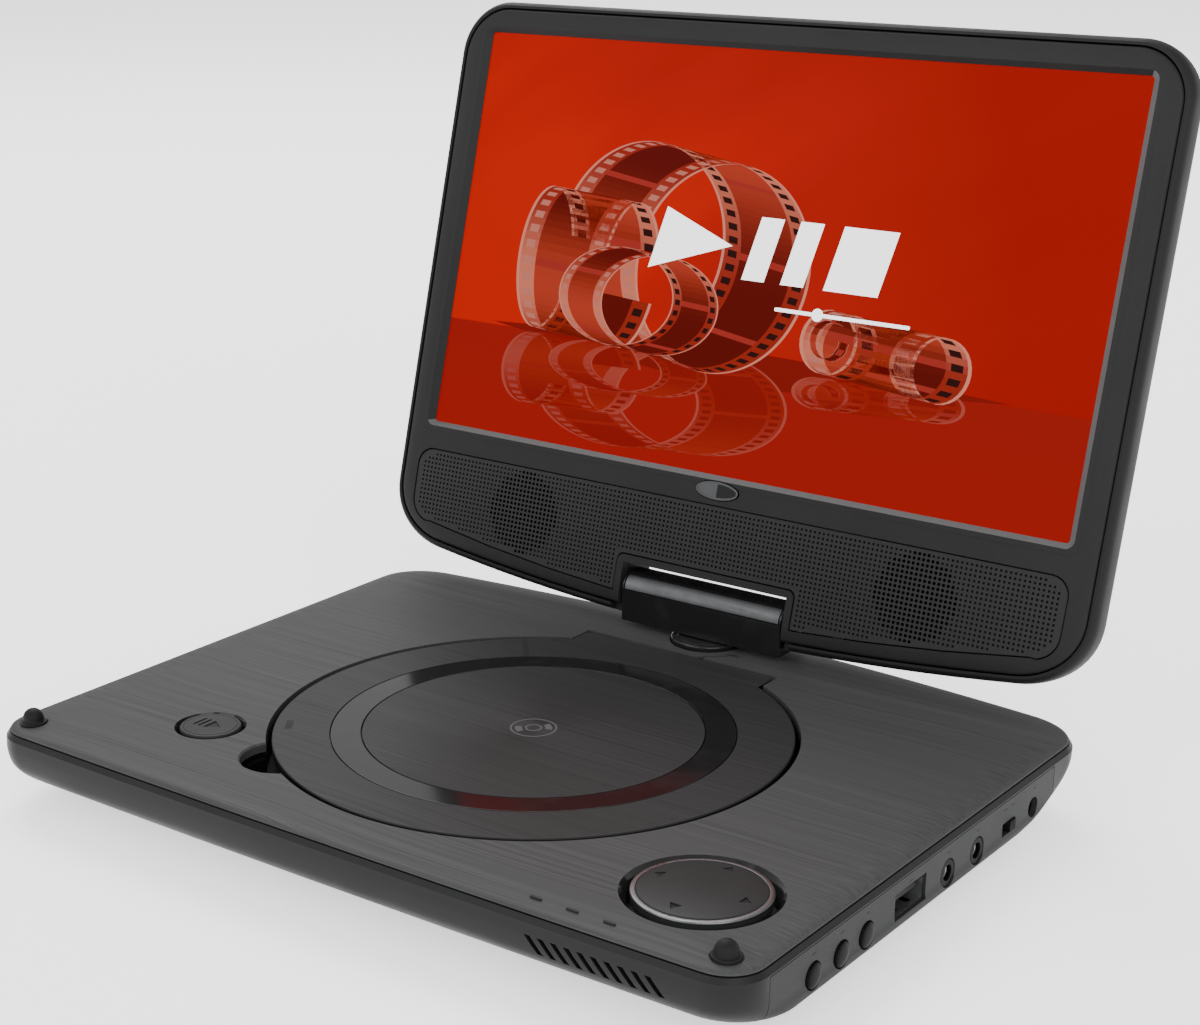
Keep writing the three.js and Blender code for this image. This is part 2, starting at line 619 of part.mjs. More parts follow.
function addElectronics(base) {
  const board = prism(polygon([
    [69, -60], [86, -60], [99, -46], [99, 28], [83, 50], [69, 50],
  ]), -14.9, -13.3);
  piece(base, 'main_board', cut(board, rod(64, 46, -20, 0, 4.5)).intersect(room), FINISH.board);
  piece(base, 'battery_pack', prism(roundedRectangle(-83.5, -2, 13, 40, 2), -15.6, -4, 4), FINISH.battery);

  const sheet = 0.4;
  const usbBox = (x0, x1, inset) => box(
    [x0, USB.y - USB.width / 2 + inset, USB.z - USB.height / 2 + inset],
    [x1, USB.y + USB.width / 2 - inset, USB.z + USB.height / 2 - inset],
  );
  const shield = cut(usbBox(95, SHELL_HALF - 0.4, 0), usbBox(96, 120, sheet));
  const tongue = box([95.5, USB.y - 5.4, USB.z], [107.8, USB.y + 5.4, USB.z + 1.8]);
  piece(base, 'usb_socket', join(shield, tongue), FINISH.steel);

  for (const [name, y] of Object.entries(JACKS)) {
    piece(base, name, makeJack(y, SHELL_HALF - 0.1), FINISH.matte);
  }

  const dcBody = box([96, DC_Y - 3.9, -10.8], [106.4, DC_Y + 3.9, -5]).intersect(room);
  const dcBore = rodX(99, 115, DC_Y, SIDE_Z + 0.3, 2.1, 24);
  const dcPin = rodX(98, 105.8, DC_Y, SIDE_Z + 0.3, 0.7, 16);
  piece(base, 'dc_jack', join(cut(dcBody, dcBore), dcPin), FINISH.matte);

  const switchBody = box([98, SWITCH.y - 5, -11.6], [104.6, SWITCH.y + 5, -6.2]).intersect(room);
  piece(base, 'switch_body', switchBody, FINISH.steel);
}

// ---------------------------------------------------------------- keys

function addKeys(base) {
  const play = turned([
    [0, -2], [PLAY.radius, -2], [PLAY.radius, 1.3], [PLAY.radius - 0.5, 1.75], [4, 1.95], [0, 2],
  ], PLAY.x, PLAY.y);
  piece(base, 'play_button', play, FINISH.shell);

  const rocker = turned([
    [0, -3.3], [1.6, -3.3], [4.5, -2.7], [4.5, -1.6], [0, -1.6],
  ], PAD.x, PAD.y, 24);
  piece(base, 'pad_rocker', rocker, FINISH.white);
  const r = PAD.radius;
  const pad = turned([
    [0, -1.3], [r - 1.2, -1.3], [r - 0.2, -0.6], [r, 1.3], [r - 0.4, 1.9], [r - 1.1, 2.15],
    [r - 3, 2.4], [8, 2.75], [0, 3],
  ], PAD.x, PAD.y, 40);
  piece(base, 'direction_pad', pad, FINISH.shell);

  SIDE_KEYS.forEach((y, index) => {
    const key = turnedX([
      [0, 106.3], [3.7, 106.3], [3.7, 107.1], [2.9, 107.1], [2.9, 109.4], [2.6, 109.75],
      [1.8, 109.93], [0, 110],
    ], y, SIDE_Z);
    piece(base, `side_button_${index + 1}`, key, FINISH.gloss);
  });

  const rear = SWITCH.y + SWITCH.length / 2 - 0.2;
  const front = rear - SWITCH.knob;
  const knob = join(
    box([107.4, front, SWITCH.z - 1.35], [109.9, rear, SWITCH.z + 1.35]),
    box([105, front - 0.4, SWITCH.z - 1.9], [107.4, rear, SWITCH.z + 1.9]),
  );
  piece(base, 'power_switch', knob, FINISH.matte);
}

// ---------------------------------------------------------------- swivel hinge

function blockOutline(shrink) {
  const radius = BLOCK.crownRadius;
  const crown = TILT.z + radius;
  const shape = new THREE.Shape();
  shape.moveTo(BLOCK.rear, BLOCK.bottom);
  shape.lineTo(BLOCK.rear, TILT.z);
  shape.absarc(BLOCK.rear - radius, TILT.z, radius, 0, Math.PI / 2);
  shape.lineTo(BLOCK.front + radius, crown);
  shape.absarc(BLOCK.front + radius, TILT.z, radius - shrink, Math.PI / 2, Math.PI);
  shape.lineTo(BLOCK.front + shrink, BLOCK.bottom);
  shape.closePath();
  return shape;
}

/** A curved band on the front of the hinge block, between two angles above the horizontal. */
function trimBand(inner, outer, lowAngle, highAngle, halfLength) {
  const y = BLOCK.front + BLOCK.crownRadius;
  const low = Math.PI - lowAngle;
  const high = Math.PI - highAngle;
  const shape = new THREE.Shape();
  shape.absarc(y, TILT.z, outer, high, low, false);
  shape.absarc(y, TILT.z, inner, low, high, true);
  shape.closePath();
  return prismX(shape, -halfLength, halfLength);
}

function addSwivel(base) {
  const disc = turned([
    [0, -4.9], [SWIVEL.post, -4.9], [SWIVEL.post, 0.4], [SWIVEL.radius, 0.4], [SWIVEL.radius, 2.3],
    [SWIVEL.radius - 0.3, 2.8], [SWIVEL.radius - 0.9, SWIVEL.top], [0, SWIVEL.top],
  ], 0, SWIVEL.y, 40);
  piece(base, 'swivel_disc', disc, FINISH.gloss);

  const collar = (z0, z1, radius, clearance) => cut(
    rod(0, SWIVEL.y, z0, z1, radius, { sides: 24 }),
    rod(0, SWIVEL.y, -9, 9, SWIVEL.post + clearance),
  );
  piece(base, 'swivel_bearing', collar(-2.6, -1.2, 8.8, 0.6), FINISH.steel);
  piece(base, 'swivel_nut', collar(-4.6, -3, 7.6, GAP), FINISH.steel);

  const low = THREE.MathUtils.degToRad(5);
  const high = THREE.MathUtils.degToRad(62);
  const spare = THREE.MathUtils.degToRad(2.5);
  const radius = BLOCK.crownRadius;
  const bores = [-1, 1].map((side) => {
    const ends = [side * 16, side * 30];
    return rodX(Math.min(...ends), Math.max(...ends), TILT.y, TILT.z, 2.1, 24);
  });
  const trimSeat = trimBand(radius - 0.9, radius + 1, low - spare, high + spare, BLOCK.half - 0.5);
  const block = cut(prismX(blockOutline(0), -BLOCK.half, BLOCK.half), trimSeat, ...bores);
  piece(base, 'hinge_block', block, FINISH.gloss);
  piece(base, 'hinge_trim', trimBand(radius - 0.6, radius, low, high, BLOCK.half - 0.8), FINISH.steel);
}

// ---------------------------------------------------------------- lid

const lidSize = { ...LID, frontRadius: 18, rearRadius: 15 };

function makeRearShell() {
  const outer = wrapped([
    { z: 5.6, size: lidSize, inset: 1.3 },
    { z: 4.6, size: lidSize, inset: 0.4 },
    { z: 3, size: lidSize },
    { z: -1, size: lidSize, inset: 0.2 },
    { z: -4, size: lidSize, inset: 1.3 },
    { z: -6.2, size: lidSize, inset: 3.8 },
    { z: -7.2, size: lidSize, inset: 7 },
    { z: LID.back, size: lidSize, inset: 13 },
  ]);
  const inner = wrapped([
    { z: 12, size: lidSize, inset: 2 },
    { z: -1, size: lidSize, inset: 2 },
    { z: -3.4, size: lidSize, inset: 3.2 },
    { z: -5.9, size: lidSize, inset: 7 },
  ]);
  const wallHalf = NOTCH.half + NOTCH.wall;
  const notchWalls = box([-wallHalf, -20, -20], [wallHalf, NOTCH.top + NOTCH.wall, 3.2]);
  const hollow = cut(inner, notchWalls);
  const notch = box([-NOTCH.half, -20, -20], [NOTCH.half, NOTCH.top, 20]);
  const bezelRoom = box([-wallHalf - 1, -20, 3.2], [wallHalf + 1, NOTCH.top + 3, 20]);
  const bore = rodX(-NOTCH.half - 5, NOTCH.half + 5, 0, 0, 2.1, 24);
  return cut(outer, hollow, notch, bezelRoom, bore);
}

/** The outline of the speaker grille: it follows the lid's lower edge and steps round the notch. */
function grilleOutline(inset) {
  const half = GRILLE.half - inset;
  const top = GRILLE.top - inset;
  const lowerEdge = (x) => -2.8 + inset + 0.00087 * x * x;
  const stepX = NOTCH.half + GRILLE.edge + inset;
  const stepY = NOTCH.top + GRILLE.edge + inset;
  const corner = 7;
  const side = (sign) => [
    [sign * (stepX + 4), lowerEdge(stepX + 4)], [sign * 50, lowerEdge(50)], [sign * 72, lowerEdge(72)],
    [sign * (half - corner), lowerEdge(half - corner)],
    [sign * (half - 2.4), lowerEdge(half - corner) + 2.2],
    [sign * half, lowerEdge(half - corner) + corner - 0.6],
    [sign * half, top - 5], [sign * (half - 1.4), top - 1.4], [sign * (half - 5), top],
  ];
  const right = side(1);
  const left = side(-1).reverse();
  return polygon([
    [stepX, stepY - 1.5], [stepX, lowerEdge(stepX)], ...right, ...left, [-stepX, lowerEdge(stepX)],
    [-stepX, stepY - 1.5], [-stepX + 1.5, stepY], [stepX - 1.5, stepY],
  ]);
}

function badgeOutline(grow) {
  const shape = new THREE.Shape();
  shape.absellipse(0, 30.3, 6.6 + grow, 2.4 + grow, 0, Math.PI * 2);
  return shape;
}

function makeBezel() {
  const outer = wrapped([
    { z: 3.5, size: lidSize, inset: 2.4 },
    { z: 5.2, size: lidSize, inset: 2.4 },
    { z: 5.9, size: lidSize, inset: 3.3 },
    { z: 6.3, size: lidSize, inset: 5.4 },
    { z: LID.bezel, size: lidSize, inset: 8.5 },
  ]);
  const hollow = prism(casingOutline(lidSize, 4.4), 0, 4.8);
  const notchFrame = box([-NOTCH.half - 1.5, -20, 3.5], [NOTCH.half + 1.5, NOTCH.top + 1.5, 5.2]);
  const window = prism(roundedRectangle(0, SCREEN.y, SCREEN.half + 0.4, SCREEN.height + 0.4, 0.5), 0, 20, 3);
  const slope = solid(new ConvexGeometry([
    ...rectangleCorners(SCREEN.half + 0.4, SCREEN.height + 0.4, SCREEN.z + 0.5),
    ...rectangleCorners(SCREEN.half + 2.5, SCREEN.height + 1.9, LID.bezel + 0.2),
  ]));
  const notch = box([-NOTCH.half, -20, -20], [NOTCH.half, NOTCH.top, 20]);
  const badgeSeat = prism(badgeOutline(GAP), 5.7, 20);
  return cut(join(cut(outer, hollow), notchFrame.intersect(outer)), window, slope, notch, badgeSeat,
    prism(grilleOutline(0), 0, 20));
}

function rectangleCorners(halfWidth, halfHeight, z) {
  return [[-1, -1], [1, -1], [1, 1], [-1, 1]].map(([sx, sy]) => (
    new THREE.Vector3(sx * halfWidth, SCREEN.y + sy * halfHeight, z)));
}

function addLid(lid) {
  piece(lid, 'rear_shell', makeRearShell(), FINISH.panel);
  piece(lid, 'front_bezel', makeBezel(), FINISH.matte);
  piece(lid, 'speaker_grille', prism(grilleOutline(GAP), 5, 6.3), FINISH.matte);
  piece(lid, 'badge', prism(badgeOutline(0), 6, 6.85), FINISH.steel);

  const panelOutline = roundedRectangle(0, SCREEN.y, SCREEN.half + 2.5, SCREEN.height + 3, 4);
  piece(lid, 'lcd_panel', prism(panelOutline, 2.4, SCREEN.z, 3), FINISH.screen);
  piece(lid, 'backlight_frame', prism(panelOutline, -2.2, 2.1, 3), FINISH.steel);
  piece(lid, 'driver_board', box([-44, 10, -3.8], [44, 27, -2.4]), FINISH.board);

  for (const [name, side] of [['speaker_left', -1], ['speaker_right', 1]]) {
    const driver = turned([
      [0, -2], [7, -2], [7, 0.5], [SPEAKER.radius, 2.2], [SPEAKER.radius, 4.2], [9.6, 4.2],
      [8.4, 3.2], [3.4, 2], [3, 2.8], [0, 3.4],
    ], side * SPEAKER.x, SPEAKER.y, 20);
    piece(lid, name, driver, FINISH.matte);
  }

  for (const [name, side] of [['hinge_bracket_left', -1], ['hinge_bracket_right', 1]]) {
    const xs = [side * 28.6, side * 41];
    const plate = box([Math.min(...xs), -2, -1.6], [Math.max(...xs), 24, -0.2]);
    const ear = box([Math.min(side * 28.6, side * 30.2), -3, -3], [Math.max(side * 28.6, side * 30.2), 3, 3]);
    const ends = [side * 18, side * 29];
    const pin = rodX(Math.min(...ends), Math.max(...ends), 0, 0, 1.8, 20);
    piece(lid, name, join(plate, ear, pin), FINISH.steel);
  }
}

// ---------------------------------------------------------------- assembly

const player = new THREE.Group();
player.position.set(0, BASE_SHIFT, SEAM_HEIGHT);

const base = new THREE.Group();
addCasing(base);
addDoor(base);
addDrive(base);
addElectronics(base);
addKeys(base);
addSwivel(base);

const lid = new THREE.Group();
lid.position.set(0, TILT.y, TILT.z);
lid.rotation.x = Math.PI / 2 - LID_LEAN;
addLid(lid);

player.add(base, lid);

export default player;
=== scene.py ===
"""Portable disc player with a tilting, swivelling display lid.

Every piece is shaped in the millimetres of its own axes: the base axes have Z = 0 at the cover
seam, and the lid axes start at the tilt hinge, with Y up the lid and Z out of the display.
"""

import json
import logging
import math
from collections.abc import Callable, Iterator, Sequence
from contextlib import contextmanager
from dataclasses import dataclass
from enum import Enum

import bmesh
import bpy
from mathutils import Matrix, Vector

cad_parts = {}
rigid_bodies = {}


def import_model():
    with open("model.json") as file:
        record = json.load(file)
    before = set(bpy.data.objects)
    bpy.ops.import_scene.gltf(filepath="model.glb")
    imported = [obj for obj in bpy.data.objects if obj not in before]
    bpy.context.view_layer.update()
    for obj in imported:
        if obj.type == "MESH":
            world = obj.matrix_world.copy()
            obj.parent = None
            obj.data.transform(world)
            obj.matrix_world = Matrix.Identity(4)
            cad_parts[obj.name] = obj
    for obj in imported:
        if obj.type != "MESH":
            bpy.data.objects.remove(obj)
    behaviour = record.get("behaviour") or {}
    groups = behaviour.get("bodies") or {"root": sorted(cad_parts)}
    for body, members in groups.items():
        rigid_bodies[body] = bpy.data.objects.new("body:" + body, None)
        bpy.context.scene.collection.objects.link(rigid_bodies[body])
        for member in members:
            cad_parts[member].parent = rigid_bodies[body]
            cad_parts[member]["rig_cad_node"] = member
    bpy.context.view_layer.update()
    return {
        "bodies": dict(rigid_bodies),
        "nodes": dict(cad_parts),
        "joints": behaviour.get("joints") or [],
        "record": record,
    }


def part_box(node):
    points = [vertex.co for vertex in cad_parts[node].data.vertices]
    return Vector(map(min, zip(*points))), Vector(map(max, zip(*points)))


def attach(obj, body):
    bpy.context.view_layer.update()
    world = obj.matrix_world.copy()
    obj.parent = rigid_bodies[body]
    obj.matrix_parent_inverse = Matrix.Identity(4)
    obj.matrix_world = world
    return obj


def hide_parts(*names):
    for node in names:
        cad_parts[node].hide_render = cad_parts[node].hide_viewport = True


LOG = logging.getLogger("player")
Point2 = tuple[float, float]
Point3 = tuple[float, float, float]
Socket = bpy.types.NodeSocket

MM = 0.001
SEAM_HEIGHT = 20  # the cover seam, over the underside of the feet
LID_LEAN = 14.95  # how far the lid leans back, in degrees
DISC_Y = -2.1  # middle of the disc and of its door
DOOR_HINGE = (61, -0.3)  # Y and Z of the door's pins
DOOR_STEPS = 216  # segments of the door and of the rims that match it
SWIVEL_Y = 76.3  # middle of the swivel
PLAY_KEY = (-64.3, -48.9, 7.6)  # centre and radius
PAD = (82, -52.6, 15.2)  # centre and radius
SIDE_KEYS = (-53.2, -41.8, -31.2)  # along Y
SIDE_Z = -8.9  # height of the side keys and jacks
USB_Y = -11.9
JACKS = (("headphone", 5.6), ("av", 19.9))  # along Y
INLET_Y = 49.1
DISPLAY_Y = 90.7  # middle of the display
HOLE_SIDES = 8  # of a hole in the grille
SAME_PLACE = 1e-4  # outline points nearer than this are one point
PICTURE_INK = "ink"  # the colours stored on the picture's faces


class Body(str, Enum):
    """The bodies that pieces ride on."""

    BASE = "base"
    DOOR = "door"
    SPINDLE = "spindle"
    PICKUP = "pickup"
    FEED_WHEEL = "feed_wheel"
    FEED_PINION = "feed_motor_gear"
    PLAY = "play_key"
    PAD_SUPPORT = "pad_support"
    PAD = "pad"
    SIDE_1 = "side_key_1"
    SIDE_2 = "side_key_2"
    SIDE_3 = "side_key_3"
    SWITCH = "switch_knob"
    SWIVEL = "swivel"
    LID = "lid"


class Slot(str, Enum):
    """The record's material slots."""

    BRUSHED = "brushed_top"
    SHELL = "shell_plastic"
    SIDE = "side_plastic"
    BEZEL = "bezel_plastic"
    INNER = "inner_plastic"
    GLOSS = "gloss_black"
    RUBBER = "rubber_black"
    SHEET = "sheet_steel"
    TURNED = "turned_steel"
    TRIM = "trim_metal"
    BOARD = "circuit_board"
    BATTERY = "battery_wrap"
    SCREEN = "screen_glass"
    LENS = "lens_glass"
    GEAR = "gear_white"
    BRASS = "gear_brass"
    KEY = "key_plastic"


# ---------------------------------------------------------------- finishes


class Recipe:
    """A node tree under construction, ending in one principled shader."""

    def __init__(self, name: str) -> None:
        """Starts a material.

        Args:
            name: The material's name.
        """
        self.material = bpy.data.materials.new(name)
        self.material.use_nodes = True
        self.tree = self.material.node_tree
        self.shader = self.tree.nodes["Principled BSDF"]

    def node(self, kind: str, **settings: object) -> bpy.types.Node:
        """Adds a node and sets its properties.

        Args:
            kind: The node's type name without its prefix.
            settings: Property values.

        Returns:
            The new node.
        """
        made = self.tree.nodes.new("ShaderNode" + kind)
        for key, value in settings.items():
            setattr(made, key, value)
        return made

    def link(self, source: Socket, target: Socket) -> None:
        """Joins two sockets."""
        self.tree.links.new(source, target)

    def place(self, scale: Point3, turn: Point3 = (0, 0, 0), shift: Point3 = (0, 0, 0)) -> Socket:
        """Object coordinates, turned, then scaled.

        Args:
            scale: Scale on each axis.
            turn: Rotation in radians.
            shift: Offset in metres before scaling.

        Returns:
            The vector socket.
        """
        source = self.node("TexCoord").outputs["Object"]
        first = self.node("Mapping")
        first.inputs["Location"].default_value = shift
        first.inputs["Rotation"].default_value = turn
        self.link(source, first.inputs["Vector"])
        second = self.node("Mapping")
        second.inputs["Scale"].default_value = scale
        self.link(first.outputs["Vector"], second.inputs["Vector"])
        return second.outputs["Vector"]

    def noise(self, vector: Socket, scale: float = 1, detail: float = 3, rough: float = 0.5,
              distortion: float = 0) -> Socket:
        """Noise between 0 and 1.

        Args:
            vector: Where it is read.
            scale: Cells per unit.
            detail: Octaves.
            rough: How strong the finer octaves are.
            distortion: How far it swirls.

        Returns:
            The factor socket.
        """
        made = self.node("TexNoise")
        settings = {"Scale": scale, "Detail": detail, "Roughness": rough, "Distortion": distortion}
        for key, value in settings.items():
            made.inputs[key].default_value = value
        self.link(vector, made.inputs["Vector"])
        return made.outputs["Fac"]

    def span(self, value: Socket, low: float, high: float, start: float = 0.0,
             end: float = 1.0) -> Socket:
        """A value carried from one range to another.

        Args:
            value: The socket read.
            low: The result at the start of the range.
            high: The result at the end of the range.
            start: The start of the range.
            end: The end of the range.

        Returns:
            The result socket.
        """
        made = self.node("MapRange")
        for key, number in (("From Min", start), ("From Max", end), ("To Min", low), ("To Max", high)):
            made.inputs[key].default_value = number
        self.link(value, made.inputs["Value"])
        return made.outputs["Result"]

    def blend(self, factor: Socket, low: "Ink", high: "Ink") -> Socket:
        """A colour between two inks.

        Args:
            factor: 0 gives the low ink and 1 the high one.
            low: The first colour, or a socket.
            high: The second colour, or a socket.

        Returns:
            The colour socket.
        """
        made = self.node("Mix", data_type="RGBA")
        self.link(factor, made.inputs[0])
        for socket, ink in ((made.inputs[6], low), (made.inputs[7], high)):
            if isinstance(ink, tuple):
                socket.default_value = (*ink, 1)
            else:
                self.link(ink, socket)
        return made.outputs[2]

    def maths(self, operation: str, first: "Ink", second: "Ink" = 0.0) -> Socket:
        """One sum on sockets or numbers.

        Args:
            operation: The operation's name.
            first: A socket or number.
            second: A socket or number.

        Returns:
            The result socket.
        """
        made = self.node("Math", operation=operation)
        for index, value in enumerate((first, second)):
            if isinstance(value, (int, float)):
                made.inputs[index].default_value = value
            else:
                self.link(value, made.inputs[index])
        return made.outputs[0]

    def split(self) -> bpy.types.Node:
        """Object coordinates, as separate X, Y and Z."""
        parts = self.node("SeparateXYZ")
        self.link(self.node("TexCoord").outputs["Object"], parts.inputs[0])
        return parts

    def speckle(self, scale: float, detail: float = 3, rough: float = 0.5) -> Socket:
        """Noise with the same scale on every axis."""
        return self.noise(self.place((scale, scale, scale)), 1, detail, rough)

    def colour(self, ink: Socket) -> None:
        """Feeds the shader's colour."""
        self.link(ink, self.shader.inputs["Base Color"])

    def rough(self, amount: Socket) -> None:
        """Feeds the shader's roughness."""
        self.link(amount, self.shader.inputs["Roughness"])

    def shine(self, ink: Socket, strength: float) -> None:
        """Makes the shader a lit display, under a skin that reflects a little."""
        self.link(ink, self.shader.inputs["Emission Color"])
        self.base(Base_Color=(0.0, 0.0, 0.0, 1), Roughness=0.3, Specular_IOR_Level=0.03,
                  Emission_Strength=strength)

    def relief(self, height: Socket, depth: float, strength: float = 1.0) -> None:
        """Gives the shader a bump.

        Args:
            height: The height socket, 0 to 1.
            depth: The height of 1, in metres.
            strength: How much of it shows.
        """
        bump = self.node("Bump")
        bump.inputs["Strength"].default_value = strength
        bump.inputs["Distance"].default_value = depth
        self.link(height, bump.inputs["Height"])
        self.link(bump.outputs["Normal"], self.shader.inputs["Normal"])

    def base(self, **values: object) -> None:
        """Sets constants on the shader's own sockets, underscores standing for spaces."""
        for key, value in values.items():
            self.shader.inputs[key.replace("_", " ")].default_value = value


Ink = tuple[float, float, float] | float | Socket


@dataclass(frozen=True)
class Finish:
    """A named finish, made once and shared.

    Attributes:
        name: The material's name.
    """

    name: str

    def mix(self, recipe: Recipe) -> None:
        """Fills the node tree.

        Args:
            recipe: The tree to fill.
        """
        raise NotImplementedError

    def material(self) -> bpy.types.Material:
        """The finish as a material."""
        found = bpy.data.materials.get(self.name)
        if found is None:
            recipe = Recipe(self.name)
            self.mix(recipe)
            found = recipe.material
        return found


@dataclass(frozen=True)
class Hairline(Finish):
    """Plastic or metal with fine lines along X that gather in wavy clusters.

    Attributes:
        dark: Colour in the lines.
        light: Colour between the lines.
        roughness: Mean roughness.
        pitch: Width of a line, in metres.
        depth: Depth of the lines, in metres.
        metallic: How metallic it is.
        contrast: How strongly the lines show, 0 to 1.
    """

    dark: Point3 = (0.03, 0.0303, 0.0305)
    light: Point3 = (0.056, 0.0566, 0.057)
    roughness: float = 0.52
    pitch: float = 0.00034
    depth: float = 0.000006
    metallic: float = 0.0
    contrast: float = 1.0

    def mix(self, recipe: Recipe) -> None:
        """Fills the node tree: long fine lines, bent by a slow wave and grouped in patches."""
        wave = recipe.noise(recipe.place((9, 16, 16)), 1, 2)
        bend = recipe.maths("MULTIPLY", recipe.maths("SUBTRACT", wave, 0.5), 0.009)
        split = recipe.split()
        gather = recipe.node("CombineXYZ")
        bent = recipe.maths("ADD", split.outputs["Y"], bend)
        across = 1 / self.pitch
        stretched = ((split.outputs["X"], 14), (bent, across), (split.outputs["Z"], across))
        for index, (source, scale) in enumerate(stretched):
            recipe.link(recipe.maths("MULTIPLY", source, scale), gather.inputs[index])
        lines = recipe.noise(gather.outputs[0], 0.6, 5, 0.62)
        cloud = recipe.noise(recipe.place((18, 120, 60)), 1, 3, 0.6)
        patches = recipe.span(cloud, 0.35, 1.0, 0.35, 0.65)
        centred = recipe.maths("MULTIPLY", recipe.maths("SUBTRACT", lines, 0.5), patches)
        reach = 0.5 * self.contrast
        shade = recipe.span(recipe.maths("ADD", centred, 0.5), 0.5 - reach, 0.5 + reach, 0.3, 0.66)
        recipe.colour(recipe.blend(shade, self.dark, self.light))
        recipe.rough(recipe.span(shade, self.roughness + 0.06, self.roughness - 0.04))
        recipe.base(Metallic=self.metallic, Anisotropic=0.45, Specular_IOR_Level=0.07)
        recipe.relief(shade, self.depth, 0.5)


@dataclass(frozen=True)
class Moulded(Finish):
    """Moulded plastic with a fine eroded grain and a slight cloud of wear.

    Attributes:
        colour: Mean colour.
        roughness: Mean roughness.
        grain: Size of the grain, in metres.
        depth: Depth of the grain, in metres.
        spread: How much the colour varies, as a share.
        coat: Weight of a clear skin.
        gloss: Strength of the highlights.
    """

    colour: Point3 = (0.03, 0.03, 0.03)
    roughness: float = 0.5
    grain: float = 0.00025
    depth: float = 0.000012
    spread: float = 0.14
    coat: float = 0.0
    gloss: float = 0.15

    def mix(self, recipe: Recipe) -> None:
        """Fills the node tree: grain over a slow cloud."""
        grain = recipe.speckle(1 / self.grain, 2)
        cloud = recipe.speckle(35, 4, 0.6)
        both = recipe.maths("ADD", recipe.maths("MULTIPLY", grain, 0.6), recipe.maths("MULTIPLY", cloud, 0.4))
        low, high = (tuple(c * (1 + sign * self.spread) for c in self.colour) for sign in (-1, 1))
        recipe.colour(recipe.blend(recipe.span(both, 0, 1, 0.35, 0.65), low, high))
        recipe.rough(recipe.span(cloud, self.roughness - 0.05, self.roughness + 0.06, 0.3, 0.7))
        recipe.base(Coat_Weight=self.coat, Coat_Roughness=0.08, Specular_IOR_Level=self.gloss)
        recipe.relief(grain, self.depth, 0.6)


@dataclass(frozen=True)
class Glossy(Finish):
    """Polished plastic with faint hand marks and an almost flat ripple.

    Attributes:
        colour: Mean colour.
        roughness: Roughness of the clean surface.
        smear: Roughness added in the hand marks.
    """

    colour: Point3 = (0.009, 0.009, 0.0094)
    roughness: float = 0.12
    smear: float = 0.07

    def mix(self, recipe: Recipe) -> None:
        """Fills the node tree: smears, dust and ripple."""
        smears = recipe.noise(recipe.place((90, 55, 70), (0, 0, 0.6)), 1, 5, 0.65, 0.8)
        hands = recipe.span(smears, 0, 1, 0.5, 0.75)
        dust = recipe.span(recipe.speckle(2600, 1), 0.6, 1.0, 0.3, 0.7)
        marks = recipe.maths("MULTIPLY", hands, dust)
        recipe.rough(recipe.span(marks, self.roughness, self.roughness + self.smear))
        pale = tuple(c * 1.8 + 0.001 for c in self.colour)
        recipe.colour(recipe.blend(marks, self.colour, pale))
        recipe.base(IOR=1.5, Specular_IOR_Level=0.24)
        recipe.relief(recipe.speckle(160, 2), 0.000012, 0.5)


@dataclass(frozen=True)
class Metal(Finish):
    """Metal with fine lines or a plated crystal grain.

    Attributes:
        colour: Mean colour.
        roughness: Mean roughness.
        stretch: Pattern scale on each axis; unequal values give lines.
    """

    colour: Point3 = (0.55, 0.56, 0.57)
    roughness: float = 0.3
    stretch: Point3 = (2500, 2500, 2500)

    def mix(self, recipe: Recipe) -> None:
        """Fills the node tree: grain, tarnish and a slight relief."""
        grain = recipe.noise(recipe.place(self.stretch), 1, 3, 0.6)
        tarnish = recipe.speckle(120, 4, 0.6)
        low, high = (tuple(c * share for c in self.colour) for share in (0.72, 1.1))
        both = recipe.maths("MULTIPLY", recipe.maths("ADD", grain, tarnish), 0.5)
        recipe.colour(recipe.blend(recipe.span(both, 0, 1, 0.35, 0.65), low, high))
        recipe.rough(recipe.span(both, self.roughness + 0.1, self.roughness - 0.05, 0.3, 0.7))
        recipe.base(Metallic=1.0)
        recipe.relief(grain, 0.000008, 0.5)


@dataclass(frozen=True)
class Board(Finish):
    """Solder mask over copper tracks."""

    def mix(self, recipe: Recipe) -> None:
        """Fills the node tree: a maze of tracks under green lacquer."""
        cells = recipe.node("TexBrick")
        settings = {"Scale": 1.0, "Mortar Size": 0.09, "Brick Width": 2.6, "Row Height": 0.9}
        for key, value in settings.items():
            cells.inputs[key].default_value = value
        recipe.link(recipe.place((900, 900, 900)), cells.inputs["Vector"])
        tint = recipe.blend(cells.outputs["Fac"], (0.006, 0.06, 0.025), (0.015, 0.12, 0.045))
        spots = recipe.span(recipe.speckle(500, 2), 0, 1, 0.62, 0.66)
        recipe.colour(recipe.blend(spots, tint, (0.45, 0.4, 0.25)))
        recipe.base(Roughness=0.35)
        recipe.relief(cells.outputs["Fac"], 0.00004)


@dataclass(frozen=True)
class Backdrop(Finish):
    """Pale studio paper, lit a little from beneath.

    Attributes:
        colour: Its colour.
        glow: Light that comes through it.
    """

    colour: Point3 = (0.9, 0.9, 0.9)
    glow: float = 1.1

    def mix(self, recipe: Recipe) -> None:
        """Fills the node tree: faint paper fibre."""
        low = tuple(c * 0.985 for c in self.colour)
        recipe.colour(recipe.blend(recipe.speckle(300, 4), low, self.colour))
        recipe.base(Roughness=0.9, Specular_IOR_Level=0.1, Emission_Color=(1, 1, 1, 1),
                    Emission_Strength=self.glow)


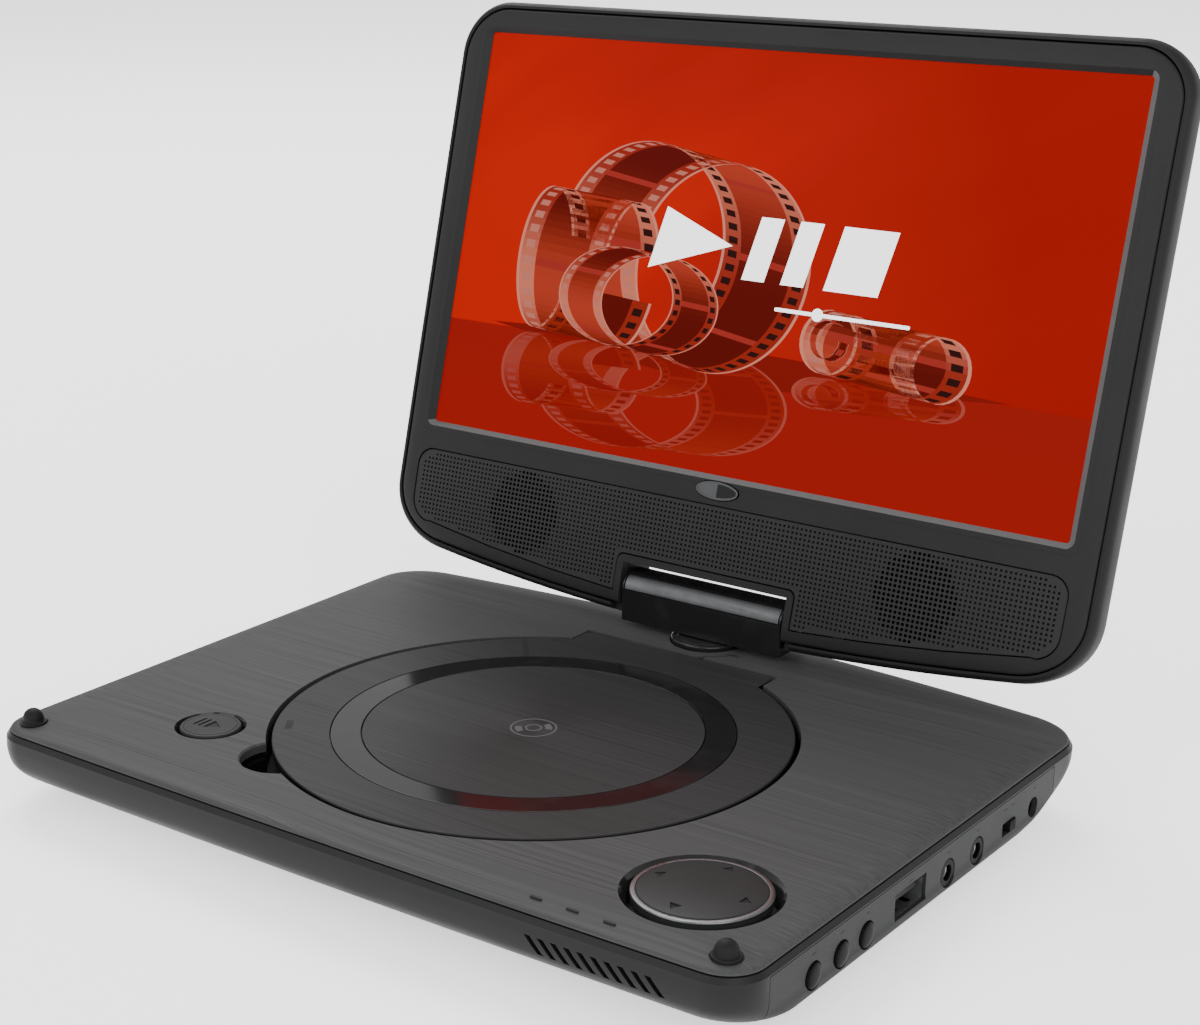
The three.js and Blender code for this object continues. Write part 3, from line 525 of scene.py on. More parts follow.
@dataclass(frozen=True)
class Wallpaper(Finish):
    """The lit display's background: red light falling off towards a dark reflecting floor.

    Attributes:
        strength: How brightly the display glows.
    """

    strength: float = 1.0

    def mix(self, recipe: Recipe) -> None:
        """Fills the node tree: light from the left, slanting soft rays and a floor line."""
        height = recipe.split().outputs["Z"]
        far = recipe.node("VectorMath", operation="LENGTH")
        recipe.link(recipe.place((1, 0, 1.3), shift=(0.075, 0, -0.118)), far.inputs[0])
        glow = recipe.span(far.outputs["Value"], 1.0, 0.12, 0.02, 0.15)
        rays = recipe.noise(recipe.place((2.5, 22, 22), (0, 0.62, 0)), 1, 3, 0.55)
        lit = recipe.maths("MULTIPLY", glow, recipe.span(rays, 0.55, 1.35, 0.35, 0.65))
        wall = recipe.blend(lit, (0.38, 0.005, 0.001), (0.64, 0.008, 0.001))
        depth = recipe.span(height, 0, 1, 0.066, 0.0957)
        ground = recipe.blend(depth, (0.37, 0.010, 0.007), (0.35, 0.010, 0.008))
        colour = recipe.blend(recipe.span(height, 0, 1, 0.0955, 0.0959), ground, wall)
        recipe.shine(colour, self.strength)


@dataclass(frozen=True)
class Painted(Finish):
    """Light given off by a picture whose colours are stored on its faces.

    Attributes:
        strength: How brightly it glows.
    """

    strength: float = 1.0

    def mix(self, recipe: Recipe) -> None:
        """Fills the node tree: the stored colour as light, with a fine screen grain."""
        stored = recipe.node("Attribute", attribute_name=PICTURE_INK)
        grain = recipe.speckle(1500, 1)
        shaded = recipe.node("Mix", data_type="RGBA", blend_type="MULTIPLY")
        shaded.inputs[0].default_value = 1.0
        recipe.link(stored.outputs["Color"], shaded.inputs[6])
        recipe.link(recipe.blend(grain, (0.92, 0.92, 0.92), (1.0, 1.0, 1.0)), shaded.inputs[7])
        recipe.shine(shaded.outputs[2], self.strength)


@dataclass(frozen=True)
class Lens(Finish):
    """Coated lens glass."""

    def mix(self, recipe: Recipe) -> None:
        """Fills the node tree: clear glass with a bluish bloom."""
        recipe.colour(recipe.blend(recipe.speckle(300, 2), (0.25, 0.3, 0.75), (0.45, 0.5, 0.95)))
        recipe.base(Roughness=0.03, Transmission_Weight=0.85, IOR=1.5)


class Palette:
    """The finishes of this player."""

    TOP = Hairline("brushed_cover")
    DOOR_RIM = Hairline("door_rim_satin", dark=(0.014, 0.0143, 0.0144), light=(0.024, 0.0244, 0.0246),
                        roughness=0.4, contrast=0.35, depth=0.000008)
    DOOR_DISC = Hairline("door_disc_brushed", dark=(0.013, 0.0132, 0.0133), light=(0.03, 0.0305, 0.0308),
                         roughness=0.46, pitch=0.0004, contrast=0.8)
    SHELL = Moulded("shell_grain", colour=(0.0085, 0.0087, 0.0089), roughness=0.45)
    SIDE = Moulded("side_grain", colour=(0.026, 0.0264, 0.027), roughness=0.5, spread=0.3, gloss=0.08)
    BEZEL = Moulded("bezel_grain", colour=(0.018, 0.018, 0.0183), roughness=0.45, gloss=0.08)
    LID_BACK = Moulded("lid_back_grain", colour=(0.012, 0.0122, 0.0125), roughness=0.5, gloss=0.1)
    # Painted highlight: a lighter finish for the lower and right slopes of the display frame, where the light
    # catches them.
    FRAME_HIGHLIGHT = Moulded("display_frame_painted_highlight", colour=(0.085, 0.0855, 0.086), roughness=0.4)
    GRILLE = Moulded("grille_grain", colour=(0.021, 0.021, 0.0214), roughness=0.5, gloss=0.1)
    # Dark inner plastic; also painted shade in the grille's holes and on the USB shield's front edge.
    INNER = Moulded("inner_grain_and_painted_shade", colour=(0.004, 0.004, 0.004), roughness=0.55)
    KEY = Moulded("key_satin", colour=(0.024, 0.0244, 0.0248), roughness=0.34, depth=0.000006, gloss=0.05)
    RUBBER = Moulded("rubber_grain", colour=(0.007, 0.007, 0.0073), roughness=0.6, grain=0.0004,
                     depth=0.00003)
    CLOTH = Moulded("speaker_cloth", colour=(0.001, 0.001, 0.001), roughness=0.9, grain=0.0005, depth=0.0001)
    BLACK = Glossy("gloss_black_plastic")
    SIDE_KEY = Moulded("side_key_satin", colour=(0.003, 0.003, 0.0032), roughness=0.3, depth=0.000004,
                       gloss=0.03)
    PRINT = Moulded("printed_grey", colour=(0.06, 0.062, 0.066), roughness=0.5)
    DARK_PRINT = Moulded("printed_dark", colour=(0.0025, 0.0025, 0.0025), roughness=0.6)
    SHEET = Metal("plated_sheet")
    TURNED = Metal("turned_bright", colour=(0.7, 0.7, 0.7), roughness=0.16)
    TRIM = Metal("trim_brushed", colour=(0.11, 0.112, 0.115), roughness=0.5, stretch=(60, 2600, 2600))
    RIM = Metal("pad_rim_metal", colour=(0.15, 0.152, 0.156), roughness=0.28, stretch=(60, 60, 60))
    BADGE = Metal("badge_silver", colour=(0.075, 0.0765, 0.079), roughness=0.3, stretch=(90, 3000, 3000))
    BRASS = Metal("gear_brass_turned", colour=(0.6, 0.42, 0.14), roughness=0.3)
    WHITE = Moulded("acetal_white", colour=(0.7, 0.7, 0.66), roughness=0.45, spread=0.05)
    WRAP = Moulded("battery_film", colour=(0.02, 0.07, 0.22), roughness=0.25, coat=0.4)
    BOARD = Board("circuit_lacquer")
    LENS = Lens("lens_coating")
    WALLPAPER = Wallpaper("display_glow")
    PICTURE = Painted("display_picture")
    PAPER = Backdrop("studio_paper")


# ---------------------------------------------------------------- shaping


@dataclass(frozen=True)
class Axes:
    """A sub-assembly's own axes, in millimetres.

    Attributes:
        matrix: Carries its points into the row frame.
    """

    matrix: Matrix

    @classmethod
    def base(cls) -> "Axes":
        """The base axes, found from the turntable, which stands under the disc's middle."""
        low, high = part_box("turntable")
        origin = Vector((0, (low.y + high.y) / 2 - DISC_Y * MM, SEAM_HEIGHT * MM))
        return cls(Matrix.Translation(origin) @ Matrix.Scale(MM, 4))

    @classmethod
    def lid(cls, joints: list[dict]) -> "Axes":
        """The lid axes, which start at the tilt hinge.

        Args:
            joints: The record's joints.

        Returns:
            The axes.
        """
        tilt = next(joint for joint in joints if joint["name"] == "lid_tilt")
        turn = Matrix.Rotation(math.radians(90 - LID_LEAN), 4, "X")
        return cls(Matrix.Translation(tilt["pos_m"]) @ turn @ Matrix.Scale(MM, 4))


def arc(x: float, y: float, radius: float, start: float, end: float, steps: int = 6) -> list[Point2]:
    """Points along a circular arc.

    Args:
        x: Centre.
        y: Centre.
        radius: Radius.
        start: First angle in degrees.
        end: Last angle in degrees.
        steps: Number of segments.

    Returns:
        The points from start to end.
    """
    angles = [math.radians(start + (end - start) * i / steps) for i in range(steps + 1)]
    return [(x + radius * math.cos(a), y + radius * math.sin(a)) for a in angles]


def rounded(x: float, y: float, half_width: float, half_height: float, radius: float,
            steps: int = 6) -> list[Point2]:
    """A rectangle with rounded corners.

    Args:
        x: Centre.
        y: Centre.
        half_width: Half its width.
        half_height: Half its height.
        radius: Corner radius.
        steps: Segments in each corner.

    Returns:
        Its outline.
    """
    w, h = half_width - radius, half_height - radius
    corners = ((x + w, y - h, -90), (x + w, y + h, 0), (x - w, y + h, 90), (x - w, y - h, 180))
    return [p for cx, cy, start in corners for p in arc(cx, cy, radius, start, start + 90, steps)]


def along(handles: Sequence[Point2], t: float) -> Point2:
    """A point of a smooth curve.

    Args:
        handles: The curve's two ends and the one or two handles between them.
        t: How far along it, 0 to 1.

    Returns:
        The point.
    """
    s = 1 - t
    shares = (s * s, 2 * s * t, t * t) if len(handles) == 3 else (s**3, 3 * s * s * t, 3 * s * t * t, t**3)
    return tuple(sum(share * handle[k] for share, handle in zip(shares, handles)) for k in (0, 1))


@dataclass(frozen=True)
class Casing:
    """A rounded casing outline whose front and rear edges bow outwards.

    Attributes:
        half: Half its width.
        front: Front edge at the corners.
        rear: Rear edge at the corners.
        front_radius: Front corner radius.
        rear_radius: Rear corner radius.
        front_bow: How far the front edge bows out.
        rear_bow: How far the rear edge bows out.
    """

    half: float
    front: float
    rear: float
    front_radius: float
    rear_radius: float
    front_bow: float = 0.0
    rear_bow: float = 0.0

    def outline(self, inset: float = 0.0, steps: int = 14) -> list[Point2]:
        """The outline, moved inwards.

        Args:
            inset: How far every edge moves in.
            steps: Segments in each curve.

        Returns:
            Points, anticlockwise from above.
        """
        w = self.half - inset
        f, r = (max(radius - inset * 0.7, 1.5) for radius in (self.front_radius, self.rear_radius))
        front_slope = 2 * self.front_bow * (w - f) / self.half**2
        rear_slope = -2 * self.rear_bow * (w - r) / self.half**2
        front = self.front + inset - self.front_bow * (1 - ((w - f) / self.half) ** 2)
        rear = self.rear - inset + self.rear_bow * (1 - ((w - r) / self.half) ** 2)
        crest, crown = (0, front - front_slope * (w - f)), (0, rear - rear_slope * (w - r))
        pull = 0.4477  # where a corner's handles lie, as a share of its radius from the corner
        low = front + (1 - pull) * f * front_slope
        high = rear + (1 - pull) * r * rear_slope
        curves = (
            ((f - w, front), crest, (w - f, front)),
            ((w - f, front), (w - pull * f, low), (w, front + pull * f), (w, front + f)),
            ((w, rear - r), (w, rear - pull * r), (w - pull * r, high), (w - r, rear)),
            ((w - r, rear), crown, (r - w, rear)),
            ((r - w, rear), (pull * r - w, high), (-w, rear - pull * r), (-w, rear - r)),
            ((-w, front + f), (-w, front + pull * f), (pull * f - w, low), (f - w, front)),
        )
        points: list[Point2] = []
        for handles in curves:
            count = steps + (8 if len(handles) == 3 else 0)
            for i in range(count + 1):
                point = along(handles, i / count)
                if not points or math.dist(points[-1], point) > SAME_PLACE:
                    points.append(point)
        return points[:-1] if math.dist(points[0], points[-1]) < SAME_PLACE else points

    def grown(self, **changes: float) -> "Casing":
        """The same casing with some sizes changed."""
        return Casing(**{**self.__dict__, **changes})


Level = tuple[float, Casing, float]


def smooth_levels(levels: Sequence[Level], per_step: int, keep: int = 1) -> list[Level]:
    """Fills in levels between the given ones along smooth curves.

    Args:
        levels: Height, casing and inset of each level.
        per_step: Levels made for each one given.
        keep: How many steps at the start stay straight.

    Returns:
        All the levels.
    """
    names = ("half", "front", "rear", "front_radius", "rear_radius")
    rows = [[z, *(getattr(casing, name) for name in names), inset] for z, casing, inset in levels]
    result = list(levels[: keep + 1])
    for i in range(keep, len(rows) - 1):
        before = rows[i - 1] if i > keep else rows[i]
        after = rows[i + 2] if i + 2 < len(rows) else rows[i + 1]
        for step in range(1, per_step + 1):
            t = step / per_step
            mixed = [
                0.5 * (2 * b + (c - a) * t + (2 * a - 5 * b + 4 * c - d) * t * t
                       + (3 * b - a - 3 * c + d) * t**3)
                for a, b, c, d in zip(before, rows[i], rows[i + 1], after)
            ]
            casing = levels[i][1].grown(**dict(zip(names, mixed[1:6])))
            result.append((mixed[0], casing, mixed[6]))
    return result


def deselect() -> None:
    """Leaves object mode's selection empty."""
    for thing in bpy.context.selected_objects:
        thing.select_set(False)


def take(thing: bpy.types.Object) -> None:
    """Makes one object the only selected and active one."""
    deselect()
    thing.select_set(True)
    bpy.context.view_layer.objects.active = thing


@contextmanager
def editing(thing: bpy.types.Object) -> Iterator[bmesh.types.BMesh]:
    """Edit mode on one object, with everything selected.

    Args:
        thing: The object.

    Yields:
        Its mesh under edit.
    """
    take(thing)
    bpy.ops.object.mode_set(mode="EDIT")
    bpy.ops.mesh.select_all(action="SELECT")
    yield bmesh.from_edit_mesh(thing.data)
    bpy.ops.object.mode_set(mode="OBJECT")


class Work:
    """A mesh being shaped, in the millimetres of its axes."""

    def __init__(self, thing: bpy.types.Object) -> None:
        """Takes up an object.

        Args:
            thing: The object, whose place is in its mesh.
        """
        self.thing = thing

    # ---- starting shapes

    @classmethod
    def started(cls) -> "Work":
        """Takes up the primitive just added, with its place put into its mesh."""
        thing = bpy.context.active_object
        take(thing)
        bpy.ops.object.transform_apply(location=True, rotation=True, scale=True)
        return cls(thing)

    @classmethod
    def node(cls, name: str, axes: Axes) -> "Work":
        """A merged copy of a CAD node.

        Args:
            name: The node.
            axes: The axes it is worked in.

        Returns:
            The copy.
        """
        source = next(o for o in bpy.data.objects if o.get("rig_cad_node") == name)
        thing = bpy.data.objects.new(name + "_work", source.data.copy())
        bpy.context.scene.collection.objects.link(thing)
        thing.data.transform(axes.matrix.inverted())
        thing.data.materials.clear()
        with editing(thing):
            bpy.ops.mesh.customdata_custom_splitnormals_clear()
            bpy.ops.mesh.remove_doubles(threshold=0.002)
            bpy.ops.mesh.dissolve_limited(angle_limit=math.radians(0.2))
        return cls(thing)

    @classmethod
    def box(cls, low: Point3, high: Point3) -> "Work":
        """A block between two corners."""
        deselect()
        middle = [(a + b) / 2 for a, b in zip(low, high)]
        bpy.ops.mesh.primitive_cube_add(size=1, location=middle, scale=[b - a for a, b in zip(low, high)])
        return cls.started()

    @classmethod
    def rod(cls, x: float, y: float, z0: float, z1: float, radius: float, top: float | None = None,
            sides: int = 64) -> "Work":
        """An upright cylinder or cone.

        Args:
            x: Centre.
            y: Centre.
            z0: Lower end.
            z1: Upper end.
            radius: Lower radius.
            top: Upper radius, if it differs.
            sides: Number of sides.

        Returns:
            The rod.
        """
        deselect()
        bpy.ops.mesh.primitive_cone_add(vertices=sides, radius1=radius, radius2=radius if top is None else top,
                                        depth=z1 - z0, location=(x, y, (z0 + z1) / 2))
        return cls.started()

    @classmethod
    def rod_x(cls, x0: float, x1: float, y: float, z: float, radius: float, sides: int = 40) -> "Work":
        """A cylinder along X between two ends."""
        deselect()
        bpy.ops.mesh.primitive_cylinder_add(vertices=sides, radius=radius, depth=x1 - x0,
                                            location=((x0 + x1) / 2, y, z), rotation=(0, math.pi / 2, 0))
        return cls.started()

    @classmethod
    def rods_x(cls, inner: float, outer: float, y: float, z: float, radius: float) -> list["Work"]:
        """A cylinder along X on each side of the middle."""
        return [cls.rod_x(x0, x1, y, z, radius) for x0, x1 in ((-outer, -inner), (inner, outer))]

    @classmethod
    def raised(cls, loops: Sequence[Sequence[Point3]]) -> "Work":
        """A solid from a stack of loops, by extruding the first face and moving each new loop.

        Args:
            loops: Loops with the same number of points.

        Returns:
            The closed solid, faces outwards.
        """
        apart = [i for i in range(len(loops[0]))
                 if any(math.dist(loop[i], loop[i - 1]) > 0.002 for loop in loops)]
        loops = [[loop[i] for i in apart] for loop in loops]
        deselect()
        bpy.ops.mesh.primitive_circle_add(vertices=len(apart), radius=1, fill_type="NGON")
        work = cls.started()
        for vertex, point in zip(work.thing.data.vertices, loops[0]):
            vertex.co = point
        with editing(work.thing) as mesh:
            order = list(mesh.verts)
            for before, after in zip(loops, loops[1:]):
                places = {tuple(round(c, 5) for c in v.co): i for i, v in enumerate(order)}
                bpy.ops.mesh.extrude_region_move()
                mesh = bmesh.from_edit_mesh(work.thing.data)
                fresh: list[bmesh.types.BMVert] = [None] * len(after)
                for vertex in (v for v in mesh.verts if v.select):
                    fresh[places[tuple(round(c, 5) for c in vertex.co)]] = vertex
                for vertex, point in zip(fresh, after):
                    vertex.co = point
                order = fresh
            bpy.ops.mesh.select_all(action="SELECT")
            bpy.ops.mesh.normals_make_consistent(inside=False)
        return work

    @classmethod
    def loft(cls, levels: Sequence[Level]) -> "Work":
        """A casing through a stack of levels."""
        return cls.raised([[(x, y, z) for x, y in casing.outline(inset)] for z, casing, inset in levels])

    @classmethod
    def prism(cls, outline: Sequence[Point2], z0: float, z1: float) -> "Work":
        """An outline pulled up between two heights."""
        return cls.raised([[(x, y, z) for x, y in outline] for z in (z0, z1)])

    @classmethod
    def prism_x(cls, outline: Sequence[Point2], x0: float, x1: float) -> "Work":
        """A YZ outline pulled along X."""
        return cls.raised([[(x, y, z) for y, z in outline] for x in (x0, x1)])

    @classmethod
    def turned(cls, profile: Sequence[Point2], x: float, y: float, sides: int = 96, along_x: bool = False,
               height: float = 0.0) -> "Work":
        """A turned solid, by spinning a profile once round its axis.

        Args:
            profile: Points of radius and height, from the axis to the axis or a closed ring.
            x: The axis's X, or its Y when it lies along X.
            y: The axis's Y, or its Z when it lies along X.
            sides: Steps in the spin.
            along_x: Whether the axis lies along X.
            height: Added to every height.

        Returns:
            The closed solid.
        """
        deselect()
        bpy.ops.mesh.primitive_circle_add(vertices=len(profile), radius=1, fill_type="NOTHING")
        work = cls.started()
        for vertex, (radius, rise) in zip(work.thing.data.vertices, profile):
            rise += height
            vertex.co = (rise, x + radius, y) if along_x else (x + radius, y, rise)
        with editing(work.thing) as mesh:
            for edge in mesh.edges:
                edge.select = False
            if profile[0][0] == 0 and profile[-1][0] == 0:
                mesh.verts.ensure_lookup_table()
                closing = next(e for e in mesh.edges if {v.index for v in e.verts} == {0, len(profile) - 1})
                mesh.edges.remove(closing)
            bpy.ops.mesh.select_all(action="SELECT")
            bpy.ops.mesh.spin(steps=sides, angle=math.tau, center=(0, x, y) if along_x else (x, y, 0),
                              axis=(1, 0, 0) if along_x else (0, 0, 1))
            bpy.ops.mesh.select_all(action="SELECT")
            bpy.ops.mesh.remove_doubles(threshold=0.0005)
            bpy.ops.mesh.dissolve_degenerate(threshold=0.0005)
            bpy.ops.mesh.select_all(action="SELECT")
            bpy.ops.mesh.normals_make_consistent(inside=False)
        return work

    @classmethod
    def tube(cls, inner: float, outer: float, z0: float, z1: float, x: float, y: float,
             sides: int = 96) -> "Work":
        """An upright tube.

        Args:
            inner: Inner radius.
            outer: Outer radius.
            z0: Lower end.
            z1: Upper end.
            x: Centre.
            y: Centre.
            sides: Number of sides.

        Returns:
            The tube.
        """
        return cls.turned([(inner, z0), (outer, z0), (outer, z1), (inner, z1)], x, y, sides)

    @classmethod
    def together(cls, parts: Sequence["Work"]) -> "Work":
        """Puts works that don't touch each other into one mesh."""
        return parts[0].merge(*parts[1:])

    # ---- shaping

    def copy(self) -> "Work":
        """A copy with its own mesh."""
        thing = self.thing.copy()
        thing.data = self.thing.data.copy()
        bpy.context.scene.collection.objects.link(thing)
        return Work(thing)

    def apply(self, kind: str, **settings: object) -> "Work":
        """Adds a modifier and applies it.

        Args:
            kind: The modifier's type.
            settings: Its settings.

        Returns:
            This work.
        """
        take(self.thing)
        modifier = self.thing.modifiers.new("step", kind)
        for key, value in settings.items():
            setattr(modifier, key, value)
        bpy.ops.object.modifier_apply(modifier=modifier.name)
        return self

    def combine(self, operation: str, tools: Sequence["Work"]) -> "Work":
        """Joins, cuts or intersects with tools, which are used up."""
        for tool in tools:
            self.apply("BOOLEAN", operation=operation, object=tool.thing, solver="MANIFOLD")
            mesh = tool.thing.data
            bpy.data.objects.remove(tool.thing)
            bpy.data.meshes.remove(mesh)
        return self

    def cut(self, *tools: "Work") -> "Work":
        """Takes the tools away from it."""
        return self.combine("DIFFERENCE", tools)

    def join(self, *tools: "Work") -> "Work":
        """Joins the tools to it."""
        return self.combine("UNION", tools)

    def keep(self, tool: "Work") -> "Work":
        """Keeps only what lies inside the tool."""
        return self.combine("INTERSECT", [tool])

    def merge(self, *others: "Work") -> "Work":
        """Puts other works that don't touch it into the same mesh."""
        deselect()
        for other in others:
            other.thing.select_set(True)
        self.thing.select_set(True)
        bpy.context.view_layer.objects.active = self.thing
        bpy.ops.object.join()
        return self

    def bevel(self, width: float, segments: int = 2, angle: float = 35) -> "Work":
        """Softens its sharp edges.

        Args:
            width: Bevel width.
            segments: Segments across it.
            angle: Edges sharper than this are softened, in degrees.

        Returns:
            This work.
        """
        with editing(self.thing):
            bpy.ops.mesh.remove_doubles(threshold=0.001)
            bpy.ops.mesh.dissolve_limited(angle_limit=math.radians(0.15))
        return self.apply("BEVEL", width=width, segments=segments, limit_method="ANGLE",
                          angle_limit=math.radians(angle), use_clamp_overlap=True, miter_outer="MITER_ARC")

    def paint(self, finish: Finish, where: Callable[[Vector, Vector], bool] | None = None) -> "Work":
        """Gives faces a finish.

        Args:
            finish: The finish.
            where: Tells from a face's centre and normal whether it takes it; all faces if left out.

        Returns:
            This work.
        """
        material = finish.material()
        mesh = self.thing.data
        if material.name not in mesh.materials:
            mesh.materials.append(material)
        index = mesh.materials.find(material.name)
        for face in mesh.polygons:
            if where is None or where(face.center, face.normal):
                face.material_index = index
        return self

    def stain(self, ink: Point3) -> "Work":
        """Stores one picture colour on every face and paints it as part of the picture."""
        stored = self.thing.data.color_attributes.new(PICTURE_INK, "FLOAT_COLOR", "CORNER")
        for corner in stored.data:
            corner.color = (*ink, 1)
        return self.paint(Palette.PICTURE)

    def settle(self, name: str, axes: Axes, body: Body, slot: Slot, replaces: Sequence[str] = (),
               angle: float = 30) -> bpy.types.Object:
        """Puts the finished piece into the row frame on its body.

        Args:
            name: The piece's name.
            axes: The axes it was made in.
            body: The body it rides on.
            slot: Not used.
            replaces: CAD nodes it stands for.
            angle: Edges below this angle are shaded smooth, in degrees.

        Returns:
            The object.
        """
        thing = self.thing
        thing.data.transform(axes.matrix)
        thing.name = thing.data.name = name
        take(thing)
        bpy.ops.object.shade_smooth_by_angle(angle=math.radians(angle))
        self.apply("WEIGHTED_NORMAL", keep_sharp=True)
        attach(thing, body.value)
        if replaces:
            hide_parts(*replaces)
        LOG.info("%s: %d faces on %s", name, len(thing.data.polygons), body.value)
        return thing


# ---------------------------------------------------------------- the base


@dataclass
class BaseCasing:
    """Cover, lower shell, port panel, disc bay and what is fixed to them.

    Attributes:
        axes: The base axes.
        cover: Cover outline at the seam.
        play: Centre and radius of the play key.
        pad: Centre, radius and recess radius of the direction pad.
        bumpers: Places of the two bumpers.
        scoop: Centre and radius of the thumb scoop.
        bay: Centre Y and radius of the disc opening.
        feet: Names and places of the feet.
        screws: Places of the base screws.
    """

    axes: Axes
    cover: Casing = Casing(108.4, -79.35, 79.35, 9, 14, 0.93, 7.75)
    play: Point3 = PLAY_KEY
    pad: tuple[float, float, float, float] = (*PAD, 17.5)
    bumpers: tuple[Point2, ...] = ((-101.1, -73.3), (101.1, -73.3))
    scoop: Point3 = (-37.2, -52.9, 9.6)
    bay: Point2 = (DISC_Y, 65.4)
    feet: tuple[tuple[str, Point2], ...] = (
        ("front_left", (-66, -52)), ("front_right", (78, -46)),
        ("rear_left", (-76, 44)), ("rear_right", (76, 44)))
    screws: tuple[Point2, ...] = ((-84, -56), (58, -56), (-64, 46), (64, 46))

    def shell_levels(self, inset: float = 0.0) -> list[Level]:
        """Levels of the lower shell from the seam down.

        Args:
            inset: Moves the wall inwards for the inner face.

        Returns:
            The levels.
        """
        rows = ((-0.3, 108.6, -79.6, 79.6, 9.2, 14.2, 0), (-1.5, 109.4, -80.4, 80.3, 10, 15, 0),
                (-5.5, 109.4, -80.4, 79.8, 10, 16, 0), (-9.5, 109.35, -79.2, 77, 11.5, 22, 0.3),
                (-13.2, 109.2, -74.5, 70, 15, 32, 1), (-17, 103, -66.5, 60, 22, 34, 1.6),
                (-18.5, 99, -62, 54, 20, 32, 1.9))
        return [(z + (lift if inset else 0), Casing(half, front, rear, fr, rr, 0.93, 7.75), inset)
                for z, half, front, rear, fr, rr, lift in rows]

    def make_cover(self) -> None:
        """The brushed cover with its openings and recesses."""
        rise = ((0.0, 0.0), (0.3, 0.12), (0.55, 0.4), (0.95, 1.4), (1.3, 4.2), (1.56, 9.0))
        crown = [(z, self.cover, inset) for z, inset in rise]
        cover = Work.loft(smooth_levels(crown, 3, keep=1))
        cover.join(Work.prism(self.cover.outline(3), -0.8, 0.2))
        px, py, pr = self.play
        dx, dy, dr, recess = self.pad
        sx, sy, sr = self.scoop
        cover.join(Work.rod(px, py, -3.6, 0.2, pr + 2.4), Work.rod(dx, dy, -4.6, 0.2, recess + 1))
        cover.join(*(Work.rod(x, y, -15, 0.2, 3.2, sides=24) for x, y in self.screws))
        by, br = self.bay
        cover.cut(Work.rod(0, by, -9, 9, br, sides=DOOR_STEPS), Work.box((-30.3, 40, -9), (30.3, 63.4, 9)),
                  Work.rod(sx, sy, -9, 9, sr), Work.rod(sx, sy, 1.06, 2.06, sr - 0.1, sr + 1),
                  Work.rod(px, py, -2.6, 9, pr + 0.4), Work.rod(px, py, 0.2, 1.96, pr + 0.4, pr + 1.5),
                  Work.rod(dx, dy, -3.6, 0, dr + 0.7, sides=96),
                  Work.rod(dx, dy, -0.4, 1.96, dr + 0.7, recess + 0.4, 96),
                  Work.rod(dx, dy, -9, 0, 2.6), Work.rod(px, py, -9, 0, 2.4),
                  Work.rod(0, SWIVEL_Y, 0.1, 9, 10.1, sides=96), Work.rod(0, SWIVEL_Y, -9, 9, 5.8))
        cover.cut(*Work.rods_x(29.7, 34.1, *DOOR_HINGE, 1.2))
        for x, y in self.bumpers:
            cover.cut(Work.rod(x, y, 1, 9, 3.5), Work.rod(x, y, -9, 9, 2, sides=32))
        cover.cut(*(Work.rod(x, y, -16, -3, 1.7, sides=16) for x, y in self.screws))
        cover.bevel(0.18, 2, 40)

        def slope(c: Vector, n: Vector) -> bool:
            """Whether a face slopes down into the recess of the play key or of the pad."""
            near = any(math.dist(c.xy, centre) < radius
                       for centre, radius in (((px, py), pr + 1.8), ((dx, dy), recess + 0.6)))
            return c.z > -2.7 and 0.05 < n.z < 0.98 and near

        def bay_edge(c: Vector, n: Vector) -> bool:
            """Whether a face is on the cut edge round the disc bay."""
            return c.z < 0 and abs(n.z) < 0.9 and math.dist(c.xy, (0, by)) < br + 0.4

        cover.paint(Palette.TOP).paint(Palette.BLACK, slope).paint(Palette.INNER, bay_edge)
        cover.settle("cover_plate", self.axes, Body.BASE, Slot.BRUSHED, ["top_cover"])

    def make_cover_marks(self) -> None:
        """Three raised ticks by the front edge and a turning arrow by the hinge."""
        marks = Work.together([Work.prism(rounded(x, -75.7, 1.5, 0.32, 0.3, 3), 1.2, 1.68)
                               for x in (56.1, 65.4, 74.7)])
        curve = [(x, y + 0.2) for x, y in arc(0, SWIVEL_Y, 13.6, -62, -28, 12)]
        arrow = Work.prism(curve + arc(0, SWIVEL_Y, 13.0, -28, -62, 12), 1.3, 1.62)
        tips = [Work.prism([(x, y), (x + a, y + b), (x + c, y + d)], 1.3, 1.62) for x, y, a, b, c, d in (
            (12.9, 71.0, -2.4, -1.4, 1.5, -1.5), (5.2, 63.6, 1.8, 1.4, 1.7, -1.2))]
        marks.merge(arrow, *tips)
        marks.paint(Palette.KEY).settle("cover_marks", self.axes, Body.BASE, Slot.KEY)

